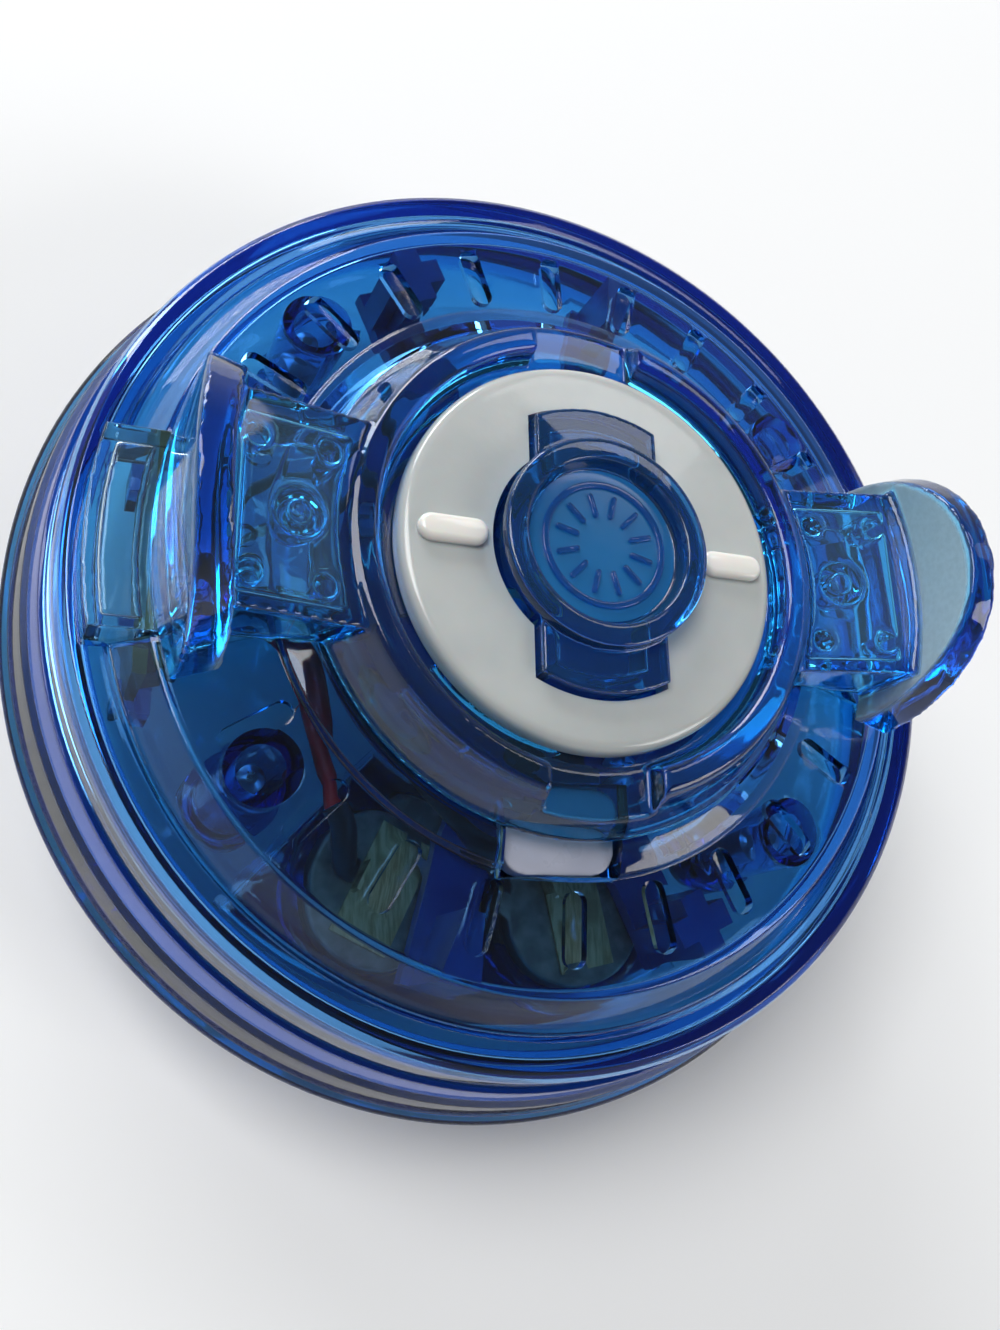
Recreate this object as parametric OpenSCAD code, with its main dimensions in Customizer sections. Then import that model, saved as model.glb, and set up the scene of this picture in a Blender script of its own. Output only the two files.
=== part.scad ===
// Motorised battling top: a clear body on a driven rubber tip, with a winged ring
// held on its hub by a turning lock ring.
// Millimetres. Origin on the spin axis at the foot of the tip, +Z up, wings on the X axis.

/* [Tip and drive] */
// Radius of the rubber tip
tip_r = 5; // [4.5:0.1:6]
// Thickness of the rubber foot below its holder
tip_h = 2.2; // [1.8:0.1:3]
// Height of the tip holder
holder_h = 3.8; // [3.4:0.1:5]
// Radius of the drive shaft
shaft_r = 1.5; // [1.3:0.05:1.7]
// Module of the gear pair
gear_module = 0.6; // [0.55:0.01:0.62]
// Teeth on the motor pinion
pinion_teeth = 10; // [9:1:11]
// Teeth on the drive gear
gear_teeth = 30; // [28:1:31]
// Thickness of the drive gear
gear_t = 2.4; // [2:0.1:3]

/* [Motor] */
// Radius of the motor can
motor_r = 5; // [4.6:0.1:5.2]
// Length of the motor can
motor_len = 9.2; // [8.5:0.1:11]
// Height of the end cap on the can
motor_cap_h = 1.5; // [1.2:0.1:2]
// Radius of the motor shaft
motor_shaft_r = 0.75; // [0.6:0.05:0.9]

/* [Cells] */
// Radius of a button cell
cell_r = 5.8; // [5.4:0.1:5.9]
// Thickness of a button cell
cell_h = 5.4; // [5:0.1:6]
// Angle between the two cells about the spin axis
cell_spread = 37; // [34:0.5:40]
// Thickness of the cover under the cells
hatch_t = 1.4; // [1.2:0.1:1.8]

/* [Body] */
// Wall of the two shells
wall = 1.6; // [1.4:0.1:1.8]
// Radius of the wide lower rim
body_r = 40.1; // [39.5:0.1:42]
// Radius of the upper rim
rim_r = 36.4; // [36:0.1:37]
// Width of the flat top of the upper rim
rim_w = 1.9; // [1.5:0.1:2.4]
// Outer radius of the slotted deck
deck_r = 31.3; // [30.9:0.1:31.8]
// Radius of the step inside the deck
step_r = 23.2; // [22.9:0.1:23.6]
// Radius of the hub seat under the wing ring
hub_r = 21; // [20.6:0.1:21.4]
// Rise of the dished underside from its centre
dish_h = 2.6; // [2.2:0.1:3.2]
// Height of the lower side, from its rim to the parting line
side_h = 7.1; // [6.5:0.1:8]
// Height of the upper skirt, from the parting line to the rim
skirt_h = 4.7; // [4.3:0.1:5.5]
// Rise of the sloped shoulder, from the rim to the deck
shoulder_h = 2.3; // [2:0.1:2.8]
// Fall of the deck from its step to its edge
deck_drop = 0.9; // [0.6:0.1:1.2]
// Rise of the hub seat above the deck
hub_rise = 1.2; // [1:0.1:1.6]
// Number of slots in the deck
slot_count = 24; // [20:4:28]
// Width of a deck slot
slot_w = 1.7; // [1.4:0.1:2]
// Length of a deck slot
slot_len = 5.4; // [4.8:0.1:5.8]
// Depth of a deck slot
slot_depth = 0.7; // [0.5:0.05:0.9]

/* [Wing ring] */
// Inner radius of the collar's raised wall
collar_r = 16.5; // [16.2:0.1:16.8]
// Width of the collar's raised wall
collar_w = 1.9; // [1.6:0.1:2.2]
// Height of the collar above the hub seat
collar_h = 4.9; // [4.7:0.1:5.4]
// Half width of the gaps in the collar
collar_gap = 4.3; // [3.8:0.1:4.8]
// Height of the arms above the hub seat, at the wing
arm_h = 6.8; // [6.4:0.1:7.2]
// Fall of an arm's top from the wing to the collar
arm_fall = 2.2; // [1.8:0.1:2.5]
// Half width of an arm
arm_w = 7.7; // [7.2:0.1:8.2]
// Thickness of an arm's walls
arm_wall = 1.2; // [1:0.1:1.5]
// Inner radius of a wing
wing_r = 27.7; // [27.2:0.1:28.2]
// Thickness of a wing at its top
wing_t = 2.3; // [2:0.1:2.7]
// Extra thickness of a wing at its foot
wing_draft = 1; // [0.6:0.1:1.4]
// Half width of a wing at its foot
wing_w = 10.9; // [10.3:0.1:11.5]
// Height of a wing above the hub seat
wing_h = 13.2; // [12:0.1:14]

/* [Lock ring and core] */
// Outer radius of the lock ring
lock_r = 15.15; // [14.8:0.05:15.3]
// Height of the lock ring's face above the hub seat
lock_h = 4.6; // [4.4:0.1:4.9]
// Radius of the round shoulder on the lock ring
lock_round = 1.2; // [0.8:0.1:1.5]
// Turn that frees the lock ring, in degrees
lock_turn = 60; // [55:1:65]
// Radius of the core
core_r = 8.1; // [7.8:0.1:8.4]
// Height of the core above the lock ring's face
core_rise = 2.4; // [2:0.1:2.8]
// Half width of a core lug
lug_w = 5; // [4.6:0.1:5.4]
// Outer radius of the core lugs
lug_r = 11.1; // [10.8:0.1:11.2]
// Radius of the recess in the core
recess_r = 6.3; // [5.8:0.1:6.6]
// Depth of the recess in the core
recess_h = 1.4; // [1.1:0.1:1.7]

/* [Button and window] */
// Width of the power button
button_w = 8.8; // [8:0.1:9.4]
// Offset of the button from the Y axis
button_x = -1.3; // [-1.6:0.1:-0.4]
// Travel of the power button
button_travel = 0.8; // [0.6:0.05:0.9]
// Half width of the sensor window
window_w = 7.4; // [6.8:0.1:7.8]
// Thickness of the circuit board
board_t = 1; // [0.8:0.1:1.2]

/* [Hidden] */
$fn = 96;

// Clearances: between turning and fixed pieces, sliding pieces, seated pieces and in the bushes
run_gap = 0.4;
slide_gap = 0.15;
seat_gap = 0.05;
bush_gap = 0.03;
screw_gap = 0.05;
// Overlap of a feature with the wall it grows from
root = 0.4;

// Heights, stacked up from the foot of the tip
holder_top = tip_h + holder_h;
bottom_z = holder_top + run_gap;
floor_z = bottom_z + dish_h;
floor_top = floor_z + wall;
gear_z = floor_top + 0.3;
gear_top = gear_z + gear_t;
cup_floor = 0.8;
cup_z = gear_top + 0.6;
motor_z = cup_z + cup_floor;
motor_top = motor_z + motor_len;
motor_cap_top = motor_top + motor_cap_h;
bayonet_t = 1.15;
bayonet_z = motor_cap_top + 0.3;
hub_under = bayonet_z + bayonet_t + slide_gap;
hub_z = hub_under + wall;
deck_z = hub_z - hub_rise;
deck_edge_z = deck_z - deck_drop;
rim_z = deck_edge_z - shoulder_h;
parting_z = rim_z - skirt_h;
side_z = parting_z - side_h;

// Cells, their contacts and the frame that holds them down
contact_t = 0.3;
cell_mid = -97.5;
cell_angles = [cell_mid + cell_spread / 2, cell_mid - cell_spread / 2];
hatch_top = floor_z + hatch_t;
bridge_z = hatch_top + seat_gap;
cell_z = bridge_z + contact_t + seat_gap;
cell_top = cell_z + cell_h;
terminal_z = cell_top + seat_gap;
frame_z = max(terminal_z + contact_t + seat_gap, cup_z + 2);
frame_t = 1.6;
frame_top = frame_z + frame_t;
frame_r = 18.5;
cell_ring_r = frame_r + 0.7 + cell_r;
pocket_r = cell_r + 0.25;
pocket_wall = 0.8;
web_top = hatch_top + 1.2;

// Gear pair
pressure_angle = 20;
gear_add = 0.62 * gear_module;
pinion_add = 1.05 * gear_module;
gear_ded = 1.25 * gear_module;
tooth_thin = 0.06;
gear_pitch_r = gear_module * gear_teeth / 2;
pinion_pitch_r = gear_module * pinion_teeth / 2;
gear_distance = gear_pitch_r + pinion_pitch_r;
gear_pitch_angle = 360 / gear_teeth;
pinion_phase = 270 + (90 % gear_pitch_angle + gear_pitch_angle / 2) * gear_teeth / pinion_teeth;

// Bushes and washer on the drive shaft
bush_r = shaft_r + 1.7;
bush_flange_r = bush_r + 1.2;
bush_flange_t = 0.6;
washer_t = 0.4;
washer_z = gear_z - seat_gap - washer_t;
bush_top = washer_z - seat_gap;
bush_seat_z = bush_top - bush_flange_t;
boss_r = bush_flange_r + 1.1;
upper_bush_r = shaft_r + 1;
upper_bush_z = gear_top + run_gap;

// Shell screws at the corners of the deck
screw_angles = [35.5, 136, 215.5, 316];
screw_ring_r = 27.3;
screw_r = 1.15;
screw_head_r = 2.3;
screw_head_h = 2;
screw_end = parting_z + 2;
post_split_z = floor_top + 4.4;
upper_post_r = 2.7;
lower_post_r = 3.4;

// Small screws of the frame and the hatch
small_screw_r = 0.8;
small_head_r = 1.5;
small_head_h = 0.9;
frame_screw_angles = [20, 160, 300];
frame_post_ring_r = 15.5;
frame_post_r = 2.2;
hatch_screw_r = cell_ring_r - 4.6;
hatch_in_r = cell_ring_r - cell_r - 1.4;
hatch_out_r = cell_ring_r + cell_r + 1.4;
hatch_half = cell_spread / 2 + 16.5;
web_margin = 0.9;

// Side of the body, between the lower rim and the upper one
parting_r = (rim_r + body_r) / 2 - 0.65;
side_run = body_r - parting_r;
inner_r = parting_r - 1.6;
lip_r = parting_r - 2.1;
lip_t = 0.8;
lip_h = 1.2;

// Hub, bayonet and lock ring
skirt_r = 12.9;
skirt_t = 1.1;
hub_bore = skirt_r + 0.3;
bayonet_r = hub_bore + 1.4;
bayonet_half = 20;
ledge_z = hub_z + 2.6;
lock_under = ledge_z + 0.1;
lock_z = hub_z + lock_h;
core_top = lock_z + core_rise;
lug_top = core_top - 1.4;
collar_base = lug_top + 0.3;
core_flange_z = lock_under - seat_gap - 1.8;

// Button, switch and window
switch_y = -16;
switch_half = 3;
switch_top = frame_top + 3.5;
plunger_r = 1.7;
plunger_h = button_travel + 0.2;
button_foot_z = switch_top + plunger_h;
button_top = deck_z;
button_in = 16.8;
button_out = 22.9;
button_stem_half = 2;
window_in = rim_r - 5.9;
window_out = rim_r - 1.2;
window_top = deck_edge_z + 0.7;
window_base = rim_z - 1.7;
window_wall = 1;
board_x = 6.9 - rim_r;
board_half = 9;
board_base = floor_top + seat_gap;
board_top = window_base - 0.3;
board_holder_h = 4.5;

// Routes of the wires, chosen by hand, all inside the body, with their last reach ending at the board
wire_end_x = board_x + 0.1;
function reach_x(x, t) = x + t * (wire_end_x - x);
wire_r = 0.7;
sleeve_r = 0.95;
lead_r = 0.5;
sleeve_route = [[-13.7, -21.7, 17.8], [-14.5, -21.3, 17.9], [-15, -20.1, 19.3], [-15.3, -18.9, 20.2],
    [-15.8, -17.7, 20.5]];
red_route = [[-15.9, -17.5, 20.55], [-16.4, -16.2, 20.6], [-17.7, -12, 20.8], [-18.9, -7.2, 20.8],
    [reach_x(-18.9, 0.22), -4.9, 20.8], [reach_x(-18.9, 0.58), -4.2, 20.8], [wire_end_x, -4.2, 20.8]];
black_route = [[3.3, -20.2, 19.2], [0.5, -20.6, 19.6], [-4.5, -20.6, 19.6], [-9.5, -16.2, 19.5],
    [-13.5, -11, 19.4], [-17, -5, 19.3], [reach_x(-17, 0.32), -1.9, 19.2],
    [reach_x(-17, 0.65), -1.6, 19.2], [wire_end_x, -1.6, 19.2]];
lead_routes = [
    [[wire_end_x, 4.6, 20.6], [reach_x(-15, 0.76), 4.9, 20.8], [reach_x(-15, 0.42), 7.4, 21.2],
        [-15, 11, 22], [-9.6, 13.4, 22.8], [-5, 13.2, 23.4]],
    [[wire_end_x, 1.6, 20.6], [reach_x(-14.5, 0.77), 1.8, 20.8], [reach_x(-14.5, 0.4), 3.6, 21.2],
        [-14.5, 7.4, 22], [-9.6, 10.2, 22.8], [-5, 10.8, 23.4]]
];

// A point at radius r and angle a
function at(r, a) = [r * cos(a), r * sin(a)];

// A round-ended outline of length l and width w, along X and centred
function stadium(l, w, n = 10) = concat(
    [for (i = [0:n]) [l / 2 - w / 2, 0] + at(w / 2, -90 + 180 * i / n)],
    [for (i = [0:n]) [w / 2 - l / 2, 0] + at(w / 2, 90 + 180 * i / n)]);

// A rectangle with round corners, centred
function round_rect(l, w, r, n = 6) = [for (c = [0:3], i = [0:n])
    let (a = 90 * c + 90 * i / n, sx = c == 0 || c == 3 ? 1 : -1, sy = c < 2 ? 1 : -1)
    [sx * (l / 2 - r), sy * (w / 2 - r)] + at(r, a)];

// Gear outline: half the tooth's angle at radius r, then the points of every tooth
function involute(a) = tan(a) * 180 / PI - a;
function tooth_half(n, r) =
    let (pitch_r = gear_module * n / 2, base_r = pitch_r * cos(pressure_angle))
    90 / n - tooth_thin / pitch_r * 180 / PI + involute(pressure_angle)
        - involute(acos(min(1, base_r / r)));
function gear_points(n, add) =
    let (pitch_r = gear_module * n / 2, root_r = pitch_r - gear_ded,
        base_r = max(root_r + 0.05, pitch_r * cos(pressure_angle)), tip = pitch_r + add,
        radii = [root_r, base_r, (base_r + pitch_r) / 2, pitch_r, (pitch_r + tip) / 2, tip])
    [for (k = [0:n - 1], side = [-1, 1], i = [0:5])
        let (r = radii[side < 0 ? i : 5 - i])
        at(r, 360 * k / n + side * tooth_half(n, max(r, base_r)))];

// A tube along a route: a smooth curve through the points, with a ring of corners at each step
tube_sides = 8;
tube_steps = 3;
tube_ref = [0.31, 0.27, 0.91];
function unit(v) = v / norm(v);
function blend_point(p, i, t) =
    let (n = len(p) - 1, a = p[max(i - 1, 0)], b = p[i], c = p[i + 1], d = p[min(i + 2, n)])
    b + t * (c - a) / 2 + t * t * (a - 2.5 * b + 2 * c - d / 2) + t * t * t * (1.5 * (b - c) + (d - a) / 2);
function smooth(p) = concat([for (i = [0:len(p) - 2], s = [0:tube_steps - 1])
    blend_point(p, i, s / tube_steps)], [p[len(p) - 1]]);
function tangent(p, i) = unit(p[min(i + 1, len(p) - 1)] - p[max(i - 1, 0)]);
module route_tube(route, r) {
    p = smooth(route);
    n = len(p);
    corners = [for (i = [0:n - 1], s = [0:tube_sides - 1])
        let (t = tangent(p, i), u = unit(cross(t, tube_ref)), v = cross(t, u), a = 360 * s / tube_sides)
        p[i] + r * (cos(a) * u + sin(a) * v)];
    walls = [for (i = [0:n - 2], s = [0:tube_sides - 1])
        let (a = i * tube_sides + s, b = i * tube_sides + (s + 1) % tube_sides)
        each [[a, a + tube_sides, b], [b, a + tube_sides, b + tube_sides]]];
    ends = [for (s = [1:tube_sides - 2])
        each [[0, s, s + 1],
            [(n - 1) * tube_sides, (n - 1) * tube_sides + s + 1, (n - 1) * tube_sides + s]]];
    polyhedron(corners, concat(walls, ends));
}

// Plain shapes used by many pieces
module pipe(r_out, r_in, h) {
    difference() {
        cylinder(r = r_out, h = h);
        translate([0, 0, -1]) cylinder(r = r_in, h = h + 2);
    }
}
module wedge(half, h, reach) {
    linear_extrude(h)
        polygon([[0, 0], at(reach, -half), at(reach, -half / 3), at(reach, half / 3), at(reach, half)]);
}
module sector(r_in, r_out, mid, half, h) {
    intersection() {
        pipe(r_out, r_in, h);
        rotate(mid) wedge(half, h, 2 * r_out);
    }
}
module on_ring(r, angles) {
    for (a = angles) rotate(a) translate([r, 0, 0]) children();
}
module both_sides() {
    for (a = [0, 180]) rotate(a) children();
}

module upper_shell() {
    color("#1f6fc4d0") difference() {
        union() {
            rotate_extrude() polygon([
                [parting_r - 0.3, parting_z], [rim_r + 0.4, rim_z - 1], [rim_r + 0.1, rim_z - 0.35],
                [rim_r - 0.4, rim_z], [rim_r - 0.4 - rim_w, rim_z], [rim_r - 0.9 - rim_w, rim_z - 0.4],
                [deck_r, deck_edge_z], [step_r + 0.1, deck_z], [step_r - 0.1, deck_z + hub_rise / 2],
                [hub_r, hub_z], [hub_bore, hub_z], [hub_bore, hub_under], [hub_r - 0.4, hub_under],
                [step_r - 0.8, deck_z - wall + 0.1], [deck_r - 0.7, deck_edge_z - wall + 0.1],
                [rim_r - 1.5 - rim_w, rim_z - 0.3 - wall], [rim_r - 1.2, rim_z - 0.3 - wall],
                [lip_r + slide_gap, parting_z + lip_h + 0.5], [lip_r + slide_gap, parting_z]]);
            translate([0, 0, post_split_z + seat_gap]) on_ring(screw_ring_r, screw_angles)
                cylinder(r = upper_post_r, h = deck_edge_z - wall / 2 - post_split_z);
        }
        deck_slots();
        bayonet_entries(hub_under, wall);
        translate([0, 0, post_split_z]) on_ring(screw_ring_r, screw_angles)
            cylinder(r = screw_r + screw_gap, h = screw_end + 0.5 - post_split_z);
        button_opening();
        translate([0, 0, window_base - 1]) window_block(slide_gap, window_top - window_base + 2);
    }
}
module deck_slots() {
    slope = atan(deck_drop / (deck_r - step_r));
    mid_r = (deck_r + step_r) / 2 - 0.6;
    mid_z = deck_edge_z + deck_drop * (deck_r - mid_r) / (deck_r - step_r);
    for (k = [0:slot_count - 1])
        rotate(360 * k / slot_count) translate([mid_r, 0, mid_z]) rotate([0, slope, 0])
            translate([0, 0, -slot_depth]) linear_extrude(slot_depth + 1)
                polygon(stadium(slot_len, slot_w));
}
module bayonet_entries(z, h) {
    translate([0, 0, z - 0.5]) both_sides()
        sector(skirt_r - 2, bayonet_r + slide_gap, lock_turn, bayonet_half + 2, h + 1);
}
module button_opening() {
    w = button_w + 2 * slide_gap;
    translate([button_x - w / 2, -button_out - slide_gap, hub_under - 3])
        cube([w, button_out - button_in + 2 * slide_gap, wall + 6]);
}
module window_block(gap, h) {
    intersection() {
        pipe(window_out + gap, window_in - gap, h);
        translate([-body_r, -window_w - gap, 0]) cube([body_r, 2 * (window_w + gap), h]);
    }
}

module lower_shell() {
    color("#1a66bad0") difference() {
        union() {
            rotate_extrude() polygon([
                [bush_r + bush_gap, bottom_z], [boss_r, bottom_z], [frame_r - 2, floor_z],
                [body_r - 7.1, floor_z], [body_r - 1.7, side_z - 1.5], [body_r - 0.6, side_z - 1.1],
                [body_r, side_z - 0.5], [body_r, side_z + 0.1], [body_r - 0.28 * side_run, side_z + 0.6],
                [body_r - 0.56 * side_run, side_z + side_h / 2 + 0.3],
                [body_r - 0.76 * side_run, side_z + side_h / 2 + 0.8],
                [parting_r, parting_z], [lip_r, parting_z], [lip_r, parting_z + lip_h],
                [lip_r - lip_t, parting_z + lip_h], [lip_r - lip_t, parting_z - 0.7],
                [inner_r, parting_z - 2], [inner_r, side_z], [body_r - 7.1, floor_top],
                [frame_r - 2, floor_top], [boss_r + 0.4, bottom_z + wall], [boss_r, bottom_z + wall],
                [boss_r, bush_seat_z], [bush_r + bush_gap, bush_seat_z]]);
            translate([0, 0, floor_z]) sector(hatch_in_r - web_margin, hatch_out_r + web_margin, cell_mid,
                hatch_half + 2, web_top - floor_z);
            translate([0, 0, floor_z]) on_ring(screw_ring_r, screw_angles)
                cylinder(r = lower_post_r, h = post_split_z - floor_z);
            translate([0, 0, floor_z + root]) on_ring(frame_post_ring_r, frame_screw_angles)
                cylinder(r = frame_post_r, h = frame_z - seat_gap - floor_z - root);
            translate([0, 0, hatch_top]) on_ring(cell_ring_r, cell_angles)
                cylinder(r = pocket_r + pocket_wall, h = cell_h - 0.8);
            translate([0, 0, hatch_top]) on_ring(hatch_screw_r, [cell_mid]) cylinder(r = 2.1, h = 4);
            board_holders();
        }
        translate([0, 0, floor_z - 1]) sector(hatch_in_r - slide_gap, hatch_out_r + slide_gap, cell_mid,
            hatch_half + 0.4, hatch_t + 1);
        translate([0, 0, floor_z]) on_ring(cell_ring_r, cell_angles) cylinder(r = pocket_r, h = cell_h + 4);
        translate([0, 0, hatch_top - 0.5]) bridge_plate(0.3, contact_t + 0.5 + 0.2);
        translate([0, 0, floor_z - 1]) on_ring(screw_ring_r, screw_angles) {
            cylinder(r = screw_r + 0.15, h = post_split_z);
            cylinder(r = screw_head_r + slide_gap, h = screw_head_h + 1.15);
        }
        translate([0, 0, frame_z - 4.6]) on_ring(frame_post_ring_r, frame_screw_angles)
            cylinder(r = small_screw_r + screw_gap, h = 6);
        translate([0, 0, floor_z]) on_ring(hatch_screw_r, [cell_mid])
            cylinder(r = small_screw_r + screw_gap, h = hatch_t + 3.6);
        board_space();
    }
}
module board_holders() {
    for (s = [-1, 1])
        translate([board_x - board_t - 1.2, s * (board_half - 0.2) - 1.2, floor_top - root])
            cube([board_t + 2.4, 2.4, board_holder_h + root]);
}
module board_space() {
    translate([board_x - board_t - slide_gap, -board_half - slide_gap, floor_top])
        cube([board_t + 2 * slide_gap, 2 * (board_half + slide_gap), board_holder_h + 2]);
}

module battery_hatch() {
    color("#17549c") difference() {
        translate([0, 0, floor_z])
            sector(hatch_in_r, hatch_out_r, cell_mid, hatch_half, hatch_t - seat_gap);
        translate([0, 0, floor_z - 1]) on_ring(hatch_screw_r, [cell_mid]) {
            cylinder(r = small_screw_r + 0.15, h = hatch_t + 2);
            cylinder(r = small_head_r + slide_gap, h = small_head_h + 1);
        }
    }
}
module hatch_screw() {
    color("#b9bcc0") translate([0, 0, floor_z]) on_ring(hatch_screw_r, [cell_mid])
        small_screw(hatch_t + 2.6);
}
// A pan-head screw standing on its head, with a cross recess
module small_screw(l) {
    difference() {
        cylinder(r = small_head_r, h = small_head_h - seat_gap);
        cross_recess(small_head_r * 1.2);
    }
    translate([0, 0, small_head_h - seat_gap]) cylinder(r = small_screw_r, h = l - small_head_h);
}
module cross_recess(l) {
    for (a = [0, 90]) rotate(a) translate([-l / 2, -0.2, -1]) cube([l, 0.4, 1.4]);
}
module shell_screws() {
    color("#b9bcc0") translate([0, 0, floor_z + 0.1]) on_ring(screw_ring_r, screw_angles) {
        difference() {
            cylinder(r = screw_head_r, h = screw_head_h);
            cross_recess(screw_head_r * 1.3);
        }
        translate([0, 0, screw_head_h]) cylinder(r = screw_r, h = screw_end - floor_z - screw_head_h);
    }
}

// Frame over the cells and gears: motor cup, bush housing and four posts under the deck
post_angles = [114, -66];
wedge_angles = [75, -105];
post_ring_r = 28.4;
post_half = 1;
post_reach = 2.4;
frame_arm_w = 4.4;
frame_arm_step = 0.1;
motor_y = gear_distance;
motor_cup_r = motor_r + 1;
module inner_frame() {
    color("#0d2f8f") difference() {
        union() {
            translate([0, 0, frame_z]) cylinder(r = frame_r, h = frame_t);
            translate([0, 0, upper_bush_z])
                cylinder(r = upper_bush_r + 1.3, h = frame_top - upper_bush_z + 0.2);
            translate([0, motor_y, cup_z]) cylinder(r = motor_cup_r, h = frame_top - cup_z + 1.5);
            for (a = concat(post_angles, wedge_angles)) rotate(a)
                translate([frame_r - 1, -frame_arm_w / 2, frame_z + frame_arm_step])
                    cube([post_ring_r + post_reach - frame_r + 1, frame_arm_w, frame_t - 2 * frame_arm_step]);
            translate([0, 0, frame_top - root]) on_ring(post_ring_r, post_angles) cross_post();
            translate([0, 0, frame_top - root]) on_ring(post_ring_r, wedge_angles) wedge_post();
        }
        translate([0, 0, upper_bush_z - 1]) cylinder(r = upper_bush_r + bush_gap, h = frame_top);
        translate([0, motor_y, motor_z - seat_gap]) cylinder(r = motor_r + slide_gap, h = motor_len);
        translate([0, motor_y, cup_z - 1]) cylinder(r = motor_shaft_r + 1, h = cup_floor + 2);
        translate([0, 0, frame_z - 1]) on_ring(frame_post_ring_r, frame_screw_angles)
            cylinder(r = small_screw_r + 0.15, h = frame_t + 2);
    }
}
post_h = deck_edge_z - wall - frame_top + root - 0.3;
module cross_post() {
    for (a = [0, 90]) rotate(a) translate([-post_reach, -post_half, 0])
        cube([2 * post_reach, 2 * post_half, post_h]);
}
module wedge_post() {
    linear_extrude(post_h)
        polygon([[-post_reach, -0.8], [post_reach, -1.5], [post_reach, 1.5], [-post_reach, 0.8]]);
}
module frame_screws() {
    color("#b9bcc0") translate([0, 0, frame_top + small_head_h])
        on_ring(frame_post_ring_r, frame_screw_angles) mirror([0, 0, 1]) small_screw(frame_t + 4.6);
}

// Collar with two hollow arms, each ending in an upright wing
wing_foot_z = deck_z + 0.3;
wing_power = 2.2;
wing_points = 40;
arm_foot_z = deck_z + 0.7;
function wing_outline() =
    let (rise = hub_z + wing_h - wing_foot_z, e = 2 / wing_power)
    concat([for (i = [0:wing_points]) let (a = 180 * i / wing_points)
        [wing_w * sign(cos(a)) * pow(abs(cos(a)), e), wing_foot_z + rise * pow(abs(sin(a)), e)]]);
module wing_ring() {
    color("#2b7fe0c0") difference() {
        union() {
            difference() {
                rotate_extrude() polygon([
                    [hub_bore + slide_gap, hub_z + seat_gap], [hub_r - 0.2, hub_z + seat_gap],
                    [hub_r - 0.4, hub_z + 0.8], [collar_r + collar_w + 0.2, hub_z + collar_h - 0.4],
                    [collar_r + collar_w - 0.1, hub_z + collar_h], [collar_r + 0.4, hub_z + collar_h],
                    [collar_r, hub_z + collar_h - 0.4], [collar_r - 0.3, ledge_z],
                    [hub_bore + slide_gap, ledge_z]]);
                for (s = [-1, 1]) translate([-collar_gap, s * collar_r - collar_r / 2, ledge_z + 0.2])
                    cube([2 * collar_gap, collar_r, collar_h]);
            }
            both_sides() arm();
            both_sides() arm_ribs();
            both_sides() wing();
        }
        bayonet_entries(hub_z, ledge_z - hub_z);
    }
}
arm_slope = arm_fall / (wing_r - collar_r - collar_w);
function arm_top(r) = hub_z + arm_h - arm_slope * (wing_r - r);
module arm_block(half, reach, drop, foot) {
    inner = collar_r - 2;
    translate([0, half, 0]) rotate([90, 0, 0]) linear_extrude(2 * half) polygon([
        [inner, foot], [reach, foot], [reach, arm_top(reach) - drop], [inner, arm_top(inner) - drop]]);
}
module arm() {
    difference() {
        arm_block(arm_w, wing_r + wing_t / 2, 0, arm_foot_z);
        arm_block(arm_w - arm_wall, wing_r - arm_wall, arm_wall, arm_foot_z - 1);
        translate([0, 0, arm_foot_z - 1]) cylinder(r = collar_r + collar_w / 2, h = arm_h + 5);
        translate([0, 0, arm_foot_z - 1]) cylinder(r = step_r + 0.3, h = hub_z + seat_gap - arm_foot_z + 1);
        translate([0, 0, arm_foot_z - 1]) difference() {
            cylinder(r = body_r + 5, h = arm_h + 5);
            cylinder(r = wing_r + wing_t / 2, h = arm_h + 5);
        }
    }
}
// Corner pins and a round rib that hang from the arm's top plate
arm_pin_r = 0.9;
arm_pin_h = 3;
arm_pin_x = [collar_r + collar_w + 1, wing_r - 1.5];
arm_pin_y = arm_w - arm_wall - arm_pin_r + 0.2;
arm_rib_r = 1.7;
arm_rib_t = 0.7;
arm_rib_x = (arm_pin_x[0] + arm_pin_x[1]) / 2 - 0.6;
arm_bite = 0.1;
module arm_ribs() {
    for (x = arm_pin_x, s = [-1, 1]) translate([x, s * arm_pin_y, arm_top(x) - arm_wall - arm_pin_h])
        cylinder(r = arm_pin_r, h = arm_pin_h + arm_bite + arm_slope * arm_pin_r);
    translate([arm_rib_x, 0, arm_top(arm_rib_x) - arm_wall - arm_pin_h])
        pipe(arm_rib_r, arm_rib_r - arm_rib_t, arm_pin_h + arm_bite + arm_slope * arm_rib_r);
}
function wing_out(z) = let (top = hub_z + wing_h)
    wing_r + wing_t + wing_draft * (top - z) / (top - wing_foot_z);
module wing() {
    intersection() {
        translate([0, 0, wing_foot_z - 1]) difference() {
            cylinder(r1 = wing_out(wing_foot_z - 1), r2 = wing_out(wing_foot_z + wing_h + 2), h = wing_h + 3);
            translate([0, 0, -1]) cylinder(r = wing_r, h = wing_h + 5);
        }
        translate([wing_r / 2, 0, 0]) rotate([90, 0, 90]) linear_extrude(wing_r) polygon(wing_outline());
    }
}

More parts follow.
